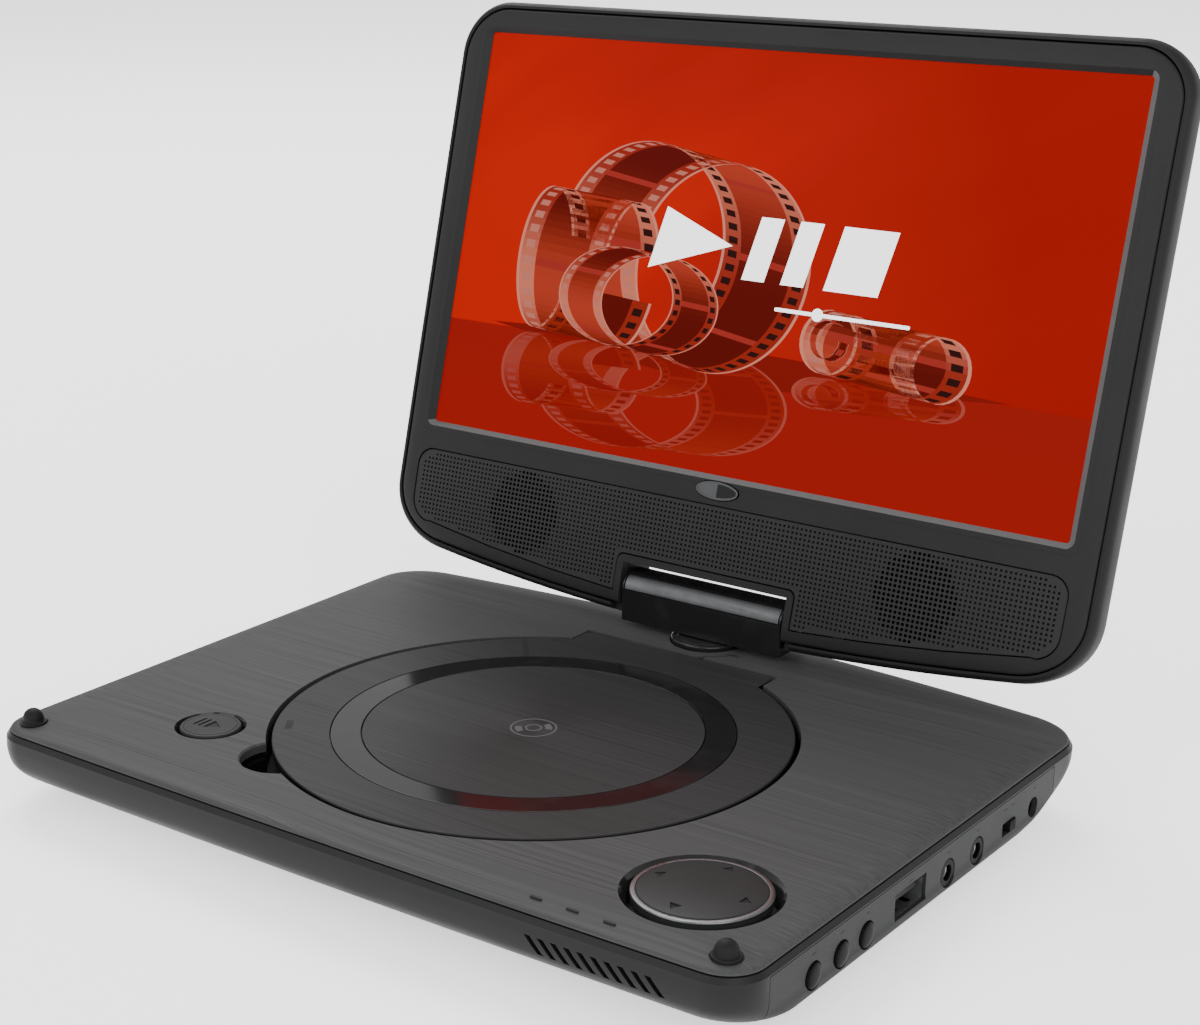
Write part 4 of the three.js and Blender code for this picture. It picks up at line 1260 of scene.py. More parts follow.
    def make_shell(self) -> None:
        """The lower shell with its vents, seats and bores, and the panel that closes its right wall."""
        outer = Work.loft(smooth_levels(self.shell_levels(), 4, keep=1))
        panel = outer.copy().keep(Work.box((107.9, -70.2, -12.6), (114.4, 60, -2)))
        inner = self.shell_levels(2.2)
        inner[0] = (3, inner[1][1], 2.2)
        outer.cut(Work.loft(smooth_levels(inner, 3, keep=1)),
                  Work.box((89.4, -70.4, -12.8), (114.4, 60.2, -1.8)))
        for i in range(10):
            x = 57 + 3.3 * i
            slot = [(x, -4.2), (x + 3.2, -8.2), (x + 4.7, -8.2), (x + 1.5, -4.2)]
            outer.cut(Work.raised([[(u, y, v) for u, v in slot] for y in (-83, -75)]))
        for x, y in self.screws:
            outer.cut(Work.rod(x, y, -20, -14, 1.7, sides=16), Work.rod(x, y, -20, -17.2, 3, sides=32))
        outer.cut(*(Work.rod(x, y, -20, -17.7, 5.3) for _, (x, y) in self.feet))
        outer.cut(*(Work.box((x - 24, -34 + 7 * i, -19), (x + 24, -33.2 + 7 * i, -18.2))
                    for i in range(7) for x in (-28, 32)))
        outer.bevel(0.15, 1, 45).paint(Palette.SHELL)
        outer.settle("shell_lower", self.axes, Body.BASE, Slot.SHELL, ["lower_shell"])
        panel.cut(*(Work.rod_x(105, 113, y, SIDE_Z, 3.2) for y in SIDE_KEYS))
        panel.cut(*(Work.rod_x(105, 113, y, SIDE_Z, 3.4) for _, y in JACKS),
                  Work.rod_x(105, 113, INLET_Y, -8.6, 2.5))
        panel.cut(Work.box((105, -18.9, -10.95), (113, -4.9, -4.65)),
                  Work.box((105, 32.9, -10.5), (113, 39.3, -7.3)))
        panel.bevel(0.16, 2, 40).paint(Palette.SIDE)
        panel.settle("panel_ports", self.axes, Body.BASE, Slot.SIDE, ["port_panel"])

    def make_panel_marks(self) -> None:
        """Small printed ticks over the side keys and sockets."""
        switch_ends = (34.2, 38)
        places = (*SIDE_KEYS, USB_Y, *(y for _, y in JACKS), *switch_ends, INLET_Y)
        marks = Work.together([Work.box((109.2, y - 0.9 + 0.25 * (i % 3), -4.05), (109.43, y + 0.9, -3.75))
                               for i, y in enumerate(places)]).bevel(0.04, 1)
        marks.paint(Palette.DARK_PRINT).settle("panel_marks", self.axes, Body.BASE, Slot.SIDE)

    def make_bay(self) -> None:
        """Disc bay wall and floor, with a shallow cup under the thumb scoop and fine rings on the floor."""
        wall = Work.node("bay_wall", self.axes).paint(Palette.INNER)
        wall.settle("bay_rim", self.axes, Body.BASE, Slot.INNER, ["bay_wall"])
        floor = Work.node("bay_floor", self.axes)
        by = self.bay[0]
        for radius in (24, 38, 52, 60.5):
            floor.cut(Work.tube(radius - 0.25, radius + 0.25, -7.8, -7, 0, by))
        floor.paint(Palette.INNER)
        floor.settle("bay_tray", self.axes, Body.BASE, Slot.INNER, ["bay_floor"])
        sx, sy, sr = self.scoop
        bowl = Work.turned([(0, -7.3), (4, -7.1), *arc(3.2, -1.2, 5.9, -80, -4, 10), (9.3, -0.6), (9.3, -1.6),
                            *reversed(arc(3.2, -1.2, 5.4, -80, -12, 10)), (0, -6.7)], sx, sy)
        bowl.cut(Work.rod(0, by, -20, 20, self.bay[1] + 0.1, sides=DOOR_STEPS))
        bowl.paint(Palette.SIDE_KEY).settle("scoop_bowl", self.axes, Body.BASE, Slot.GLOSS)

    def make_small_parts(self) -> None:
        """Bumpers, feet and screws."""
        dome = [(0, -1.5), (1.7, -1.5), (1.7, 1.3), (3.3, 1.3), *arc(3.1, 1.75, 0.2, 0, 90, 3), (2.75, 1.9),
                (2.55, 2.1), *arc(0, 2.6, 2.55, 4, 88, 14), (0, 5.15)]
        for side, (x, y) in zip(("left", "right"), self.bumpers):
            Work.turned(dome, x, y, 64).paint(Palette.RUBBER).settle(
                f"bumper_dome_{side}", self.axes, Body.BASE, Slot.RUBBER, [f"bumper_{side}"], 50)
        foot = [(0, -19.6), (2.6, -19.6), (3.0, -20), *arc(4.3, -19.3, 0.7, -90, 0, 5), (5, -18), (0, -18)]
        for place, (x, y) in self.feet:
            Work.turned(foot, x, y, 64).paint(Palette.RUBBER).settle(
                f"foot_pad_{place}", self.axes, Body.BASE, Slot.RUBBER, [f"foot_{place}"], 50)
        for i, (x, y) in enumerate(self.screws, 1):
            head = Work.turned([(0, -6), (1.2, -6), (1.25, -17.2), (2.6, -17.2), (2.6, -17.9), (2.3, -18.2),
                                (0, -18.2)], x, y, 40)
            head.cut(Work.box((x - 1.6, y - 0.3, -19), (x + 1.6, y + 0.3, -17.7)),
                     Work.box((x - 0.3, y - 1.6, -19), (x + 0.3, y + 1.6, -17.7))).bevel(0.08, 1)
            head.paint(Palette.TURNED).settle(
                f"screw_base_{i}", self.axes, Body.BASE, Slot.TURNED, [f"base_screw_{i}"])

    def build(self) -> None:
        """Makes the whole casing."""
        self.make_cover()
        self.make_cover_marks()
        self.make_shell()
        self.make_panel_marks()
        self.make_bay()
        self.make_small_parts()


@dataclass
class DiscDoor:
    """The round door with its rear tab, gloss ring and printed disc mark.

    Attributes:
        axes: The base axes.
        centre_y: Centre of the disc.
        radius: Door radius.
        ring: Inner and outer radius of the ring's groove.
        tab: Half width and rear edge of the tab.
    """

    axes: Axes
    centre_y: float = DISC_Y
    radius: float = 64.0
    ring: Point2 = (42.0, 50.0)
    tab: Point2 = (29.7, 62.8)

    def make_panel(self) -> None:
        """The door itself, satin round the edge and brushed in the middle."""
        r, (half, rear) = self.radius, self.tab
        profile = [(0, -0.5), (r - 0.15, -0.5), (r, -0.35), (r, 1.1), *arc(r - 0.4, 1.1, 0.4, 0, 90, 5),
                   (0, 1.5)]
        door = Work.turned(profile, 0, self.centre_y, DOOR_STEPS)
        side = [(40, -0.5), (rear, -0.5), (rear, 1.1), *arc(rear - 0.4, 1.1, 0.4, 0, 90, 5), (40, 1.5)]
        door.join(Work.prism_x(side, -half, half))
        skirt = Work.tube(r - 1.5, r - 0.1, -1.4, 0, 0, self.centre_y, DOOR_STEPS)
        door.join(skirt.cut(Work.box((-70, 40, -5), (70, 80, 5))))
        door.join(Work.rod_x(-half - 3.6, half + 3.6, *DOOR_HINGE, 0.9))
        low, high = self.ring
        door.cut(Work.tube(low, high, 0.7, 3, 0, self.centre_y, DOOR_STEPS))
        for s in (-1, 1):
            corner = [(s * half, rear - 2), (s * (half + 1), rear + 1), (s * (half - 2), rear)]
            door.cut(Work.prism(corner[::s], -5, 5))
        door.bevel(0.12, 1, 50)
        door.paint(Palette.DOOR_RIM)
        door.paint(Palette.DOOR_DISC,
                   lambda c, n: c.z > 1 and math.hypot(c.x, c.y - self.centre_y) < low + 0.1)
        door.paint(Palette.INNER, lambda c, n: c.z < 0.9)
        door.settle("door_panel", self.axes, Body.DOOR, Slot.BRUSHED, ["disc_door"])

    def make_ring(self) -> None:
        """The gloss ring let into the door."""
        low, high = self.ring[0] + 0.3, self.ring[1] - 0.3
        profile = [(low, 1.0), (high, 1.0), (high, 1.36), *arc(high - 0.14, 1.36, 0.14, 0, 90, 4),
                   *arc(low + 0.14, 1.36, 0.14, 90, 180, 4)]
        Work.turned(profile, 0, self.centre_y, DOOR_STEPS).paint(Palette.BLACK).settle(
            "door_gloss_ring", self.axes, Body.DOOR, Slot.GLOSS, ["door_ring"], 50)

    def make_marks(self) -> None:
        """A plain disc outline in the middle and a small lift mark at the left."""
        y = self.centre_y
        print_z = (1.49, 1.515)
        mark = Work.tube(5.35, 5.85, *print_z, 0, y, 96).merge(Work.tube(1.65, 2.15, *print_z, 0, y, 64))
        for start in (20, 200):
            band = [*arc(0, y, 4.6, start, start + 50, 12), *arc(0, y, 2.9, start + 50, start, 12)]
            mark.merge(Work.prism(band, *print_z))
        mark.paint(Palette.PRINT).settle("door_disc_mark", self.axes, Body.DOOR, Slot.BRUSHED)
        lift = Work.prism([(-49.4 + 0.58 * v + 0.81 * u, -36.6 - 0.81 * v + 0.58 * u)
                           for u, v in rounded(0, 0, 0.9, 2.7, 0.3, 3)], *print_z)
        lift.paint(Palette.DARK_PRINT).settle("door_lift_mark", self.axes, Body.DOOR, Slot.BRUSHED)

    def build(self) -> None:
        """Makes the door."""
        self.make_panel()
        self.make_ring()
        self.make_marks()


@dataclass
class Keys:
    """The play key, the direction pad, the side keys and the power switch.

    Attributes:
        axes: The base axes.
        play: Centre and radius of the play key.
        pad: Centre and radius of the direction pad.
        side: Places of the side keys along Y.
        side_z: Their height.
    """

    axes: Axes
    play: Point3 = PLAY_KEY
    pad: Point3 = PAD
    side: Point3 = SIDE_KEYS
    side_z: float = SIDE_Z

    def make_play(self) -> None:
        """The play key with an engraved bar and arrow."""
        x, y, r = self.play
        key = Work.turned([(0, -2), (r, -2), (r, 1.25), *arc(r - 0.5, 1.25, 0.5, 0, 80, 6), (4, 1.95), (0, 2)],
                          x, y)
        key.cut(Work.tube(r - 1.15, r - 0.9, 1.72, 3, x, y))
        key.cut(Work.prism([(x - 0.4, y - 2.3), (x + 3.4, y), (x - 0.4, y + 2.3)], 1.7, 3))
        key.cut(*(Work.box((x - a, y - 2.3, 1.7), (x - a + 0.7, y + 2.3, 3)) for a in (2.2, 3.8)))
        key.bevel(0.06, 1, 40).paint(Palette.KEY)
        key.paint(Palette.DARK_PRINT,
                  lambda c, n: 1.6 < c.z < 1.8 and n.z > 0.9 and math.dist(c.xy, (x, y)) < 6)
        key.settle("key_play", self.axes, Body.PLAY, Slot.KEY, ["play_button"])

    def make_pad(self) -> None:
        """The direction pad: a domed disc in a bright rim, with four arrows let in."""
        x, y, r = self.pad
        pad = Work.turned([(0, -1.3), (r - 1.2, -1.3), (r - 0.2, -0.6), (r, 1.3),
                           *arc(r - 0.42, 1.6, 0.4, 0, 90, 5), (r - 1.1, 2.05), (r - 1.3, 1.9),
                           (r - 1.5, 2.2), (r - 3, 2.45), (8, 2.78), (4, 2.95), (0, 3)], x, y, 128)
        for turn in range(4):
            c, s = math.cos(turn * math.pi / 2), math.sin(turn * math.pi / 2)
            tip = [(x + u * c - v * s, y + u * s + v * c) for u, v in ((12.0, 0), (9.8, 1.45), (9.8, -1.45))]
            pad.cut(Work.prism(tip, 2.3, 4))
        pad.bevel(0.05, 1, 40).paint(Palette.KEY)
        pad.paint(Palette.RIM, lambda c, n: math.dist(c.xy, (x, y)) > r - 1.12 and c.z > 1.2)
        pad.paint(Palette.DARK_PRINT, lambda c, n: 2.2 < c.z < 2.42 and 9.7 < math.dist(c.xy, (x, y)) < 12.2)
        pad.settle("key_pad", self.axes, Body.PAD, Slot.KEY, ["direction_pad"])
        rocker = Work.turned([(0, -3.3), (1.6, -3.3), (4.5, -2.7), (4.5, -1.6), (0, -1.6)], x, y, 48)
        rocker.bevel(0.15, 2).paint(Palette.WHITE)
        rocker.settle("pad_gimbal", self.axes, Body.PAD_SUPPORT, Slot.GEAR, ["pad_rocker"])

    def make_side(self) -> None:
        """The three domed side keys and the switch knob with its grip ribs."""
        cap = [(0, 106.3), (3.7, 106.3), (3.7, 107.1), (2.9, 107.1), (2.9, 109.2),
               *arc(2.3, 109.3, 0.6, 0, 70, 6), (1.4, 109.96), (0, 110)]
        for i, y in enumerate(self.side, 1):
            key = Work.turned(cap, y, self.side_z, 64, along_x=True)
            key.paint(Palette.SIDE_KEY).settle(
                f"key_side_{i}", self.axes, Body(f"side_key_{i}"), Slot.GLOSS, [f"side_button_{i}"], 50)
        knob = Work.node("power_switch", self.axes)
        knob.cut(*(Work.box((109.5, 36.7 + 0.75 * i, -10.6), (110.2, 37 + 0.75 * i, -7.2)) for i in range(3)))
        knob.bevel(0.1, 2).paint(Palette.INNER)
        knob.settle("switch_slider", self.axes, Body.SWITCH, Slot.INNER, ["power_switch"])

    def build(self) -> None:
        """Makes the keys."""
        self.make_play()
        self.make_pad()
        self.make_side()


@dataclass
class Sockets:
    """Sockets and switch behind the port panel.

    Attributes:
        axes: The base axes.
        usb_y: Centre of the USB socket.
        jacks: Names and places of the sound and picture jacks, along Y.
        height: Height of the jacks.
    """

    axes: Axes
    usb_y: float = USB_Y
    jacks: tuple[tuple[str, float], ...] = JACKS
    height: float = SIDE_Z

    def make_usb(self) -> None:
        """The USB shield with its spring tabs, and the tongue with four contacts."""
        y, z = self.usb_y, -7.8
        shield = Work.box((95, y - 6.6, z - 2.9), (109, y + 6.6, z + 2.9))
        shield.cut(Work.box((96, y - 6.2, z - 2.5), (120, y + 6.2, z + 2.5)))
        shield.cut(*(Work.box((103, y + s - 1, z - 4), (107.6, y + s + 1, z - 2.2)) for s in (-3, 3)))
        # Painted shade: the shield's outward-facing front edge takes the near-black inner finish, so the
        # opening reads dark.
        shield.bevel(0.12, 1).paint(Palette.SHEET).paint(Palette.INNER, lambda c, n: n.x > 0.3 and c.x > 107)
        shield.settle("usb_shield", self.axes, Body.BASE, Slot.SHEET, ["usb_socket"])
        tongue = Work.box((95.5, y - 5.4, z), (107.8, y + 5.4, z + 1.8)).bevel(0.25, 2).paint(Palette.INNER)
        tongue.settle("usb_tongue", self.axes, Body.BASE, Slot.INNER)
        contacts = Work.together([
            Work.box((99, y + s - 0.5, z - 0.1), (107.2, y + s + 0.5, z + 0.05)).bevel(0.04, 1)
            for s in (-3.5, -1, 1, 3.5)])
        contacts.paint(Palette.TURNED).settle("usb_contacts", self.axes, Body.BASE, Slot.TURNED)

    def make_jack(self, name: str, y: float) -> None:
        """A jack with a rounded collar, an entry cone and a contact ring.

        Args:
            name: Which jack.
            y: Its place.
        """
        jack = Work.node(f"{name}_jack", self.axes)
        jack.cut(Work.turned([(0, 108.6), (1.7, 108.6), (2.3, 110.5), (0, 110.5)], y, self.height, 48,
                             along_x=True))
        jack.bevel(0.14, 2, 45).paint(Palette.SIDE_KEY)
        jack.settle(f"socket_{name}", self.axes, Body.BASE, Slot.INNER, [f"{name}_jack"])
        ring = Work.turned([(1.45, 106.9), (1.74, 106.9), (1.74, 108.2), (1.45, 108.0)], y, self.height, 48,
                           along_x=True)
        ring.paint(Palette.RIM).settle(f"contact_{name}", self.axes, Body.BASE, Slot.TURNED)

    def make_power(self) -> None:
        """The power inlet and the switch body."""
        inlet = Work.node("dc_jack", self.axes).bevel(0.12, 2, 45).paint(Palette.INNER)
        inlet.settle("inlet_power", self.axes, Body.BASE, Slot.INNER, ["dc_jack"])
        body = Work.node("switch_body", self.axes).bevel(0.2, 2).paint(Palette.SHEET)
        body.settle("switch_can", self.axes, Body.BASE, Slot.SHEET, ["switch_body"])

    def build(self) -> None:
        """Makes the sockets."""
        self.make_usb()
        for name, y in self.jacks:
            self.make_jack(name, y)
        self.make_power()


@dataclass
class Drive:
    """The disc drive, the battery and the main board.

    Attributes:
        axes: The base axes.
        carried: Pieces that keep their CAD shape: name, node, body, slot, finish and bevel.
    """

    axes: Axes
    carried: tuple[tuple[str, str, Body, Slot, Finish, float], ...] = (
        ("chassis_plate", "drive_chassis", Body.BASE, Slot.SHEET, Palette.SHEET, 0.2),
        ("motor_spindle", "spindle_motor", Body.BASE, Slot.SHEET, Palette.SHEET, 0.15),
        ("rod_guide_left", "guide_rod_left", Body.BASE, Slot.TURNED, Palette.TURNED, 0.15),
        ("rod_guide_right", "guide_rod_right", Body.BASE, Slot.TURNED, Palette.TURNED, 0.15),
        ("sled_carriage", "pickup_sled", Body.PICKUP, Slot.INNER, Palette.INNER, 0.1),
        ("motor_feed", "feed_motor", Body.BASE, Slot.SHEET, Palette.SHEET, 0.3),
        ("gear_feed", "feed_gear", Body.FEED_WHEEL, Slot.GEAR, Palette.WHITE, 0.05),
        ("gear_pinion", "feed_pinion", Body.FEED_PINION, Slot.BRASS, Palette.BRASS, 0.05),
        ("battery_block", "battery_pack", Body.BASE, Slot.BATTERY, Palette.WRAP, 0.5),
        ("board_main", "main_board", Body.BASE, Slot.BOARD, Palette.BOARD, 0.05),
        ("bearing_race", "swivel_bearing", Body.BASE, Slot.SHEET, Palette.SHEET, 0.15),
    )

    def make_turntable(self) -> None:
        """The turntable with its rubber ring, hub and three spring jaws."""
        y = DISC_Y
        table = Work.turned([(0, -3.2), (1.3, -3.2), (1.3, -9), (5, -9), (5, -5.4), (14.8, -5.4), (15, -5.2),
                             (15, -4.1), (14.8, -3.9), (7.4, -3.9), (7.4, -2.9),
                             *arc(6.6, -2.9, 0.8, 0, 80, 5), (4.5, -1.7), (0, -1.7)], 0, y)
        for turn in range(3):
            a = math.radians(90 + 120 * turn)
            table.cut(Work.rod(6.2 * math.cos(a), y + 6.2 * math.sin(a), -3.4, -1, 1.2, sides=24))
        table.bevel(0.06, 1, 45).paint(Palette.INNER)
        table.paint(Palette.RUBBER, lambda c, n: c.z > -4 and n.z > 0.9 and math.hypot(c.x, c.y - y) > 9)
        table.settle("table_disc", self.axes, Body.SPINDLE, Slot.INNER, ["turntable"])

    def make_lens(self) -> None:
        """The pickup lens."""
        profile = [(0, -6.7), (3.1, -6.7), (3.1, -6.1), (2.4, -5.9), *arc(0, -8.2, 3.0, 48, 88, 8), (0, -5.2)]
        lens = Work.turned(profile, 0, DISC_Y - 24, 48)
        lens.paint(Palette.LENS).settle("lens_pickup", self.axes, Body.PICKUP, Slot.LENS, ["pickup_lens"], 60)

    def make_board_parts(self) -> None:
        """Chips and cans on the main board."""
        board_top = -13.3
        sizes = ((78, -30, 5, 5, 1.2), (86, -12, 3, 4.5, 1), (80, 12, 2, 3, 0.8), (90, 16, 1.6, 1.6, 2.4),
                 (76, 30, 2.5, 1.5, 1))
        chips = Work.together([
            Work.box((x - a, y - b, board_top), (x + a, y + b, board_top + height)).bevel(0.15, 1)
            for x, y, a, b, height in sizes])
        chips.paint(Palette.INNER).settle("board_chips", self.axes, Body.BASE, Slot.INNER)

    def build(self) -> None:
        """Makes the drive."""
        for name, node, body, slot, finish, width in self.carried:
            piece = Work.node(node, self.axes).bevel(width, 1, 45).paint(finish)
            piece.settle(name, self.axes, body, slot, [node])
        self.make_turntable()
        self.make_lens()
        self.make_board_parts()


# ---------------------------------------------------------------- hinge and lid


@dataclass
class SwivelHinge:
    """The swivel disc and the hinge block that the lid tilts on.

    Attributes:
        axes: The base axes.
        pivot_y: The swivel's centre.
        block: Half width, front, rear and bottom of the block.
        crown: Radius of the block's rounded top.
        tilt_z: Height of the tilt axis.
    """

    axes: Axes
    pivot_y: float = SWIVEL_Y
    block: tuple[float, float, float, float] = (25.3, 72, 84, 3.3)
    crown: float = 4.6
    tilt_z: float = 12.0

    def band(self, inner: float, outer: float, low: float, high: float, half: float) -> Work:
        """A curved band on the front of the block.

        Args:
            inner: Inner radius.
            outer: Outer radius.
            low: Lower angle above the horizontal, in degrees.
            high: Upper angle.
            half: Half its length.

        Returns:
            The band.
        """
        y, z = self.block[1] + self.crown, self.tilt_z
        ring = [*arc(y, z, outer, 180 - high, 180 - low, 16), *arc(y, z, inner, 180 - low, 180 - high, 16)]
        return Work.prism_x(ring, -half, half)

    def build(self) -> None:
        """Makes the hinge."""
        disc = Work.turned([(0, -4.9), (5.2, -4.9), (5.2, 0.4), (9.8, 0.4), (9.8, 2.2),
                            *arc(9.2, 2.4, 0.6, 0, 90, 6), (8.2, 3.0), (8.0, 2.85), (7.8, 3.0), (0, 3.0)],
                           0, self.pivot_y, 128)
        disc.paint(Palette.BLACK).settle("swivel_plate", self.axes, Body.SWIVEL, Slot.GLOSS, ["swivel_disc"])
        nut = Work.node("swivel_nut", self.axes).bevel(0.15, 1, 45).paint(Palette.SHEET)
        nut.settle("nut_swivel", self.axes, Body.SWIVEL, Slot.SHEET, ["swivel_nut"])
        half, front, rear, bottom = self.block
        r, z = self.crown, self.tilt_z
        side = [(rear, bottom), *arc(rear - r, z, r, 0, 90, 14), *arc(front + r, z, r, 90, 180, 14),
                (front, bottom)]
        block = Work.prism_x(side, -half, half)
        block.cut(self.band(r - 0.9, r + 1, 2.5, 64.5, half - 0.5))
        block.cut(*Work.rods_x(16, 30, (front + rear) / 2, z, 2.1))
        block.bevel(0.35, 3, 50).paint(Palette.BLACK)
        block.settle("block_hinge", self.axes, Body.SWIVEL, Slot.GLOSS, ["hinge_block"])
        trim = self.band(r - 0.6, r, 5, 62, half - 0.8).bevel(0.12, 2, 50).paint(Palette.TRIM)
        trim.settle("trim_hinge", self.axes, Body.SWIVEL, Slot.TRIM, ["hinge_trim"])


@dataclass(frozen=True)
class FilmLoop:
    """A loop of film in the displayed picture: a short tube seen from its near end.

    Attributes:
        centre: Centre of the near rim, from the middle of the display.
        radii: Half width and half height of the rim.
        reach: From the near rim to the far rim.
        start: First angle in degrees.
        sweep: How far it goes round.
    """

    centre: Point2
    radii: Point2
    reach: Point2
    start: float = 0.0
    sweep: float = 360.0

    ROWS = (0.0, 0.03, 0.07, 0.17, 0.21, 0.79, 0.83, 0.93, 0.97, 1.0)
    FLOOR = -26.0

    def ink(self, column: int, row: int, angle: float, dim: float) -> Point3:
        """The colour of one cell of the film.

        Args:
            column: Place along the film.
            row: Place across the film.
            angle: Angle round the loop in radians.
            dim: How much of it shows over the floor.

        Returns:
            Linear red, green and blue.
        """
        facing = math.cos(angle) * self.reach[0] + math.sin(angle) * self.reach[1] > 0
        shine = max(0.0, math.cos(angle - math.radians(65 if facing else 200))) ** 3
        edge, hole, frame = row in (0, 8), row in (2, 6) and column % 2 == 0, row == 4
        dull, bright = (0.34, 0.02, 0.01), (0.75, 0.2, 0.12)
        if frame:
            dull, bright = (0.13, 0.003, 0.001), (0.5, 0.045, 0.02)
        if edge:
            tint = (0.8, 0.26, 0.18)
        elif hole:
            tint = (0.03, 0.004, 0.003) if facing else (0.62, 0.2, 0.15)
        elif frame and column % 12 == 0:
            tint = (0.4, 0.03, 0.02)
        else:
            tint = tuple(a + (b - a) * shine for a, b in zip(dull, bright))
        return tuple(a * dim + b * (1 - dim) for a, b in zip(tint, (0.33, 0.009, 0.006)))

    def make(self, middle: Point3, lift: float, mirrored: bool) -> Work:
        """Lays the loop flat on the display.

        Args:
            middle: The display's middle, on its surface.
            lift: Height above the surface.
            mirrored: Whether it is the squat reflection in the floor.

        Returns:
            The loop, with its colours stored on its faces.
        """
        around = math.tau * math.sqrt((self.radii[0] ** 2 + self.radii[1] ** 2) / 2) * self.sweep / 360
        columns = 2 * max(6, round(around / 3.6))
        deselect()
        rows = len(self.ROWS) - 1
        bpy.ops.mesh.primitive_grid_add(x_subdivisions=columns, y_subdivisions=rows, size=2)
        work = Work.started()
        mesh = work.thing.data
        for vertex in mesh.vertices:
            column = round((vertex.co.x + 1) / 2 * columns)
            share = self.ROWS[round((vertex.co.y + 1) / 2 * rows)]
            angle = math.radians(self.start + self.sweep * column / columns)
            u = self.centre[0] + self.radii[0] * math.cos(angle) + self.reach[0] * share
            v = self.centre[1] + self.radii[1] * math.sin(angle) + self.reach[1] * share
            if mirrored:
                v = self.FLOOR - (v - self.FLOOR) * 0.5
            vertex.co = (middle[0] + u, middle[1] + v, middle[2] + lift)
        stored = mesh.color_attributes.new(PICTURE_INK, "FLOAT_COLOR", "CORNER")
        for face in mesh.polygons:
            row, column = divmod(min(face.vertices), columns + 1)
            angle = math.radians(self.start + self.sweep * (column + 0.5) / columns)
            tint = self.ink(column, min(row, rows - 1), angle, 0.24 if mirrored else 1.0)
            for loop in face.loop_indices:
                stored.data[loop].color = (*tint, 1)
        with editing(work.thing):
            bpy.ops.mesh.normals_make_consistent(inside=False)
        facing = sum(face.normal.z * face.area for face in mesh.polygons)
        if facing < 0:
            with editing(work.thing):
                bpy.ops.mesh.flip_normals()
        return work


@dataclass
class Display:
    """The display panel and the picture that it shows.

    Attributes:
        axes: The lid axes.
        middle: Middle of the panel's face.
        loops: The picture's film loops, rear ones first.
    """

    axes: Axes
    middle: Point3 = (0, DISPLAY_Y, 4.46)
    loops: tuple[FilmLoop, ...] = (
        FilmLoop((-39, 2), (27, 28), (28, -4)),
        FilmLoop((-70, -5), (9, 20), (30, -2), 20, 320),
        FilmLoop((-44, -13), (19, 13.5), (15, -1)),
        FilmLoop((24, -17), (8, 8.4), (34, -3)),
        FilmLoop((23, -16.4), (4.6, 5), (3, -0.4), 60, 300),
    )

    def make_panel(self) -> None:
        """The panel."""
        x, y, z = self.middle
        panel = Work.prism(rounded(x, y, 101.5, 59, 4, 8), 2.4, z).bevel(0.1, 1)
        panel.paint(Palette.INNER).paint(Palette.WALLPAPER, lambda c, n: n.z > 0.5 and c.z > 4.4)
        panel.settle("panel_display", self.axes, Body.LID, Slot.SCREEN, ["lcd_panel"])

    def make_shade(self) -> None:
        """The soft shadow that the film throws on its floor."""
        x, y, z = self.middle
        upper = [(x - 84 + 8.1 * i, y - 25 + 2.6 * math.sin(math.pi * i / 20) - 0.03 * i) for i in range(21)]
        lower = [(x + 78 - 8.1 * i, y - 25.6 - 6.5 * math.sin(math.pi * i / 20) ** 1.4) for i in range(1, 20)]
        shade = Work.prism(upper + lower, z + 0.004, z + 0.012)
        shade.stain((0.25, 0.007, 0.005)).settle("picture_shade", self.axes, Body.LID, Slot.SCREEN)

    def make_picture(self) -> None:
        """The film loops, their reflections and a row of plain player symbols."""
        self.make_shade()
        sheets = [loop.make(self.middle, 0.02 + 0.006 * i, True) for i, loop in enumerate(self.loops)]
        sheets += [loop.make(self.middle, 0.06 + 0.012 * i, False) for i, loop in enumerate(self.loops)]
        picture = Work.together(sheets).paint(Palette.PICTURE)
        picture.settle("picture_film", self.axes, Body.LID, Slot.SCREEN)
        x, y, z = self.middle
        lean, tall = 0.2, 17
        bars = ([(left, 0), (left, tall), (right, tall), (right, 0)]
                for left, right in ((-3, 4), (9, 16), (22, 38)))
        shapes = ([(-33, 0), (-33, tall), (-9, tall / 2)], *bars)
        symbols = [Work.prism([(x + u + lean * (v - 8), y - 4 + v) for u, v in shape], z + 0.13, z + 0.15)
                   for shape in shapes]
        symbols += [Work.prism(rounded(x + 27, y - 10.5, 20, 0.5, 0.45, 4), z + 0.13, z + 0.15),
                    Work.prism(arc(x + 20, y - 10.5, 1.7, 0, 345, 23), z + 0.15, z + 0.16)]
        row = Work.together(symbols).stain((2.6, 2.5, 2.55))
        row.settle("picture_symbols", self.axes, Body.LID, Slot.SCREEN)

    def build(self) -> None:
        """Makes the display."""
        self.make_panel()
        self.make_picture()


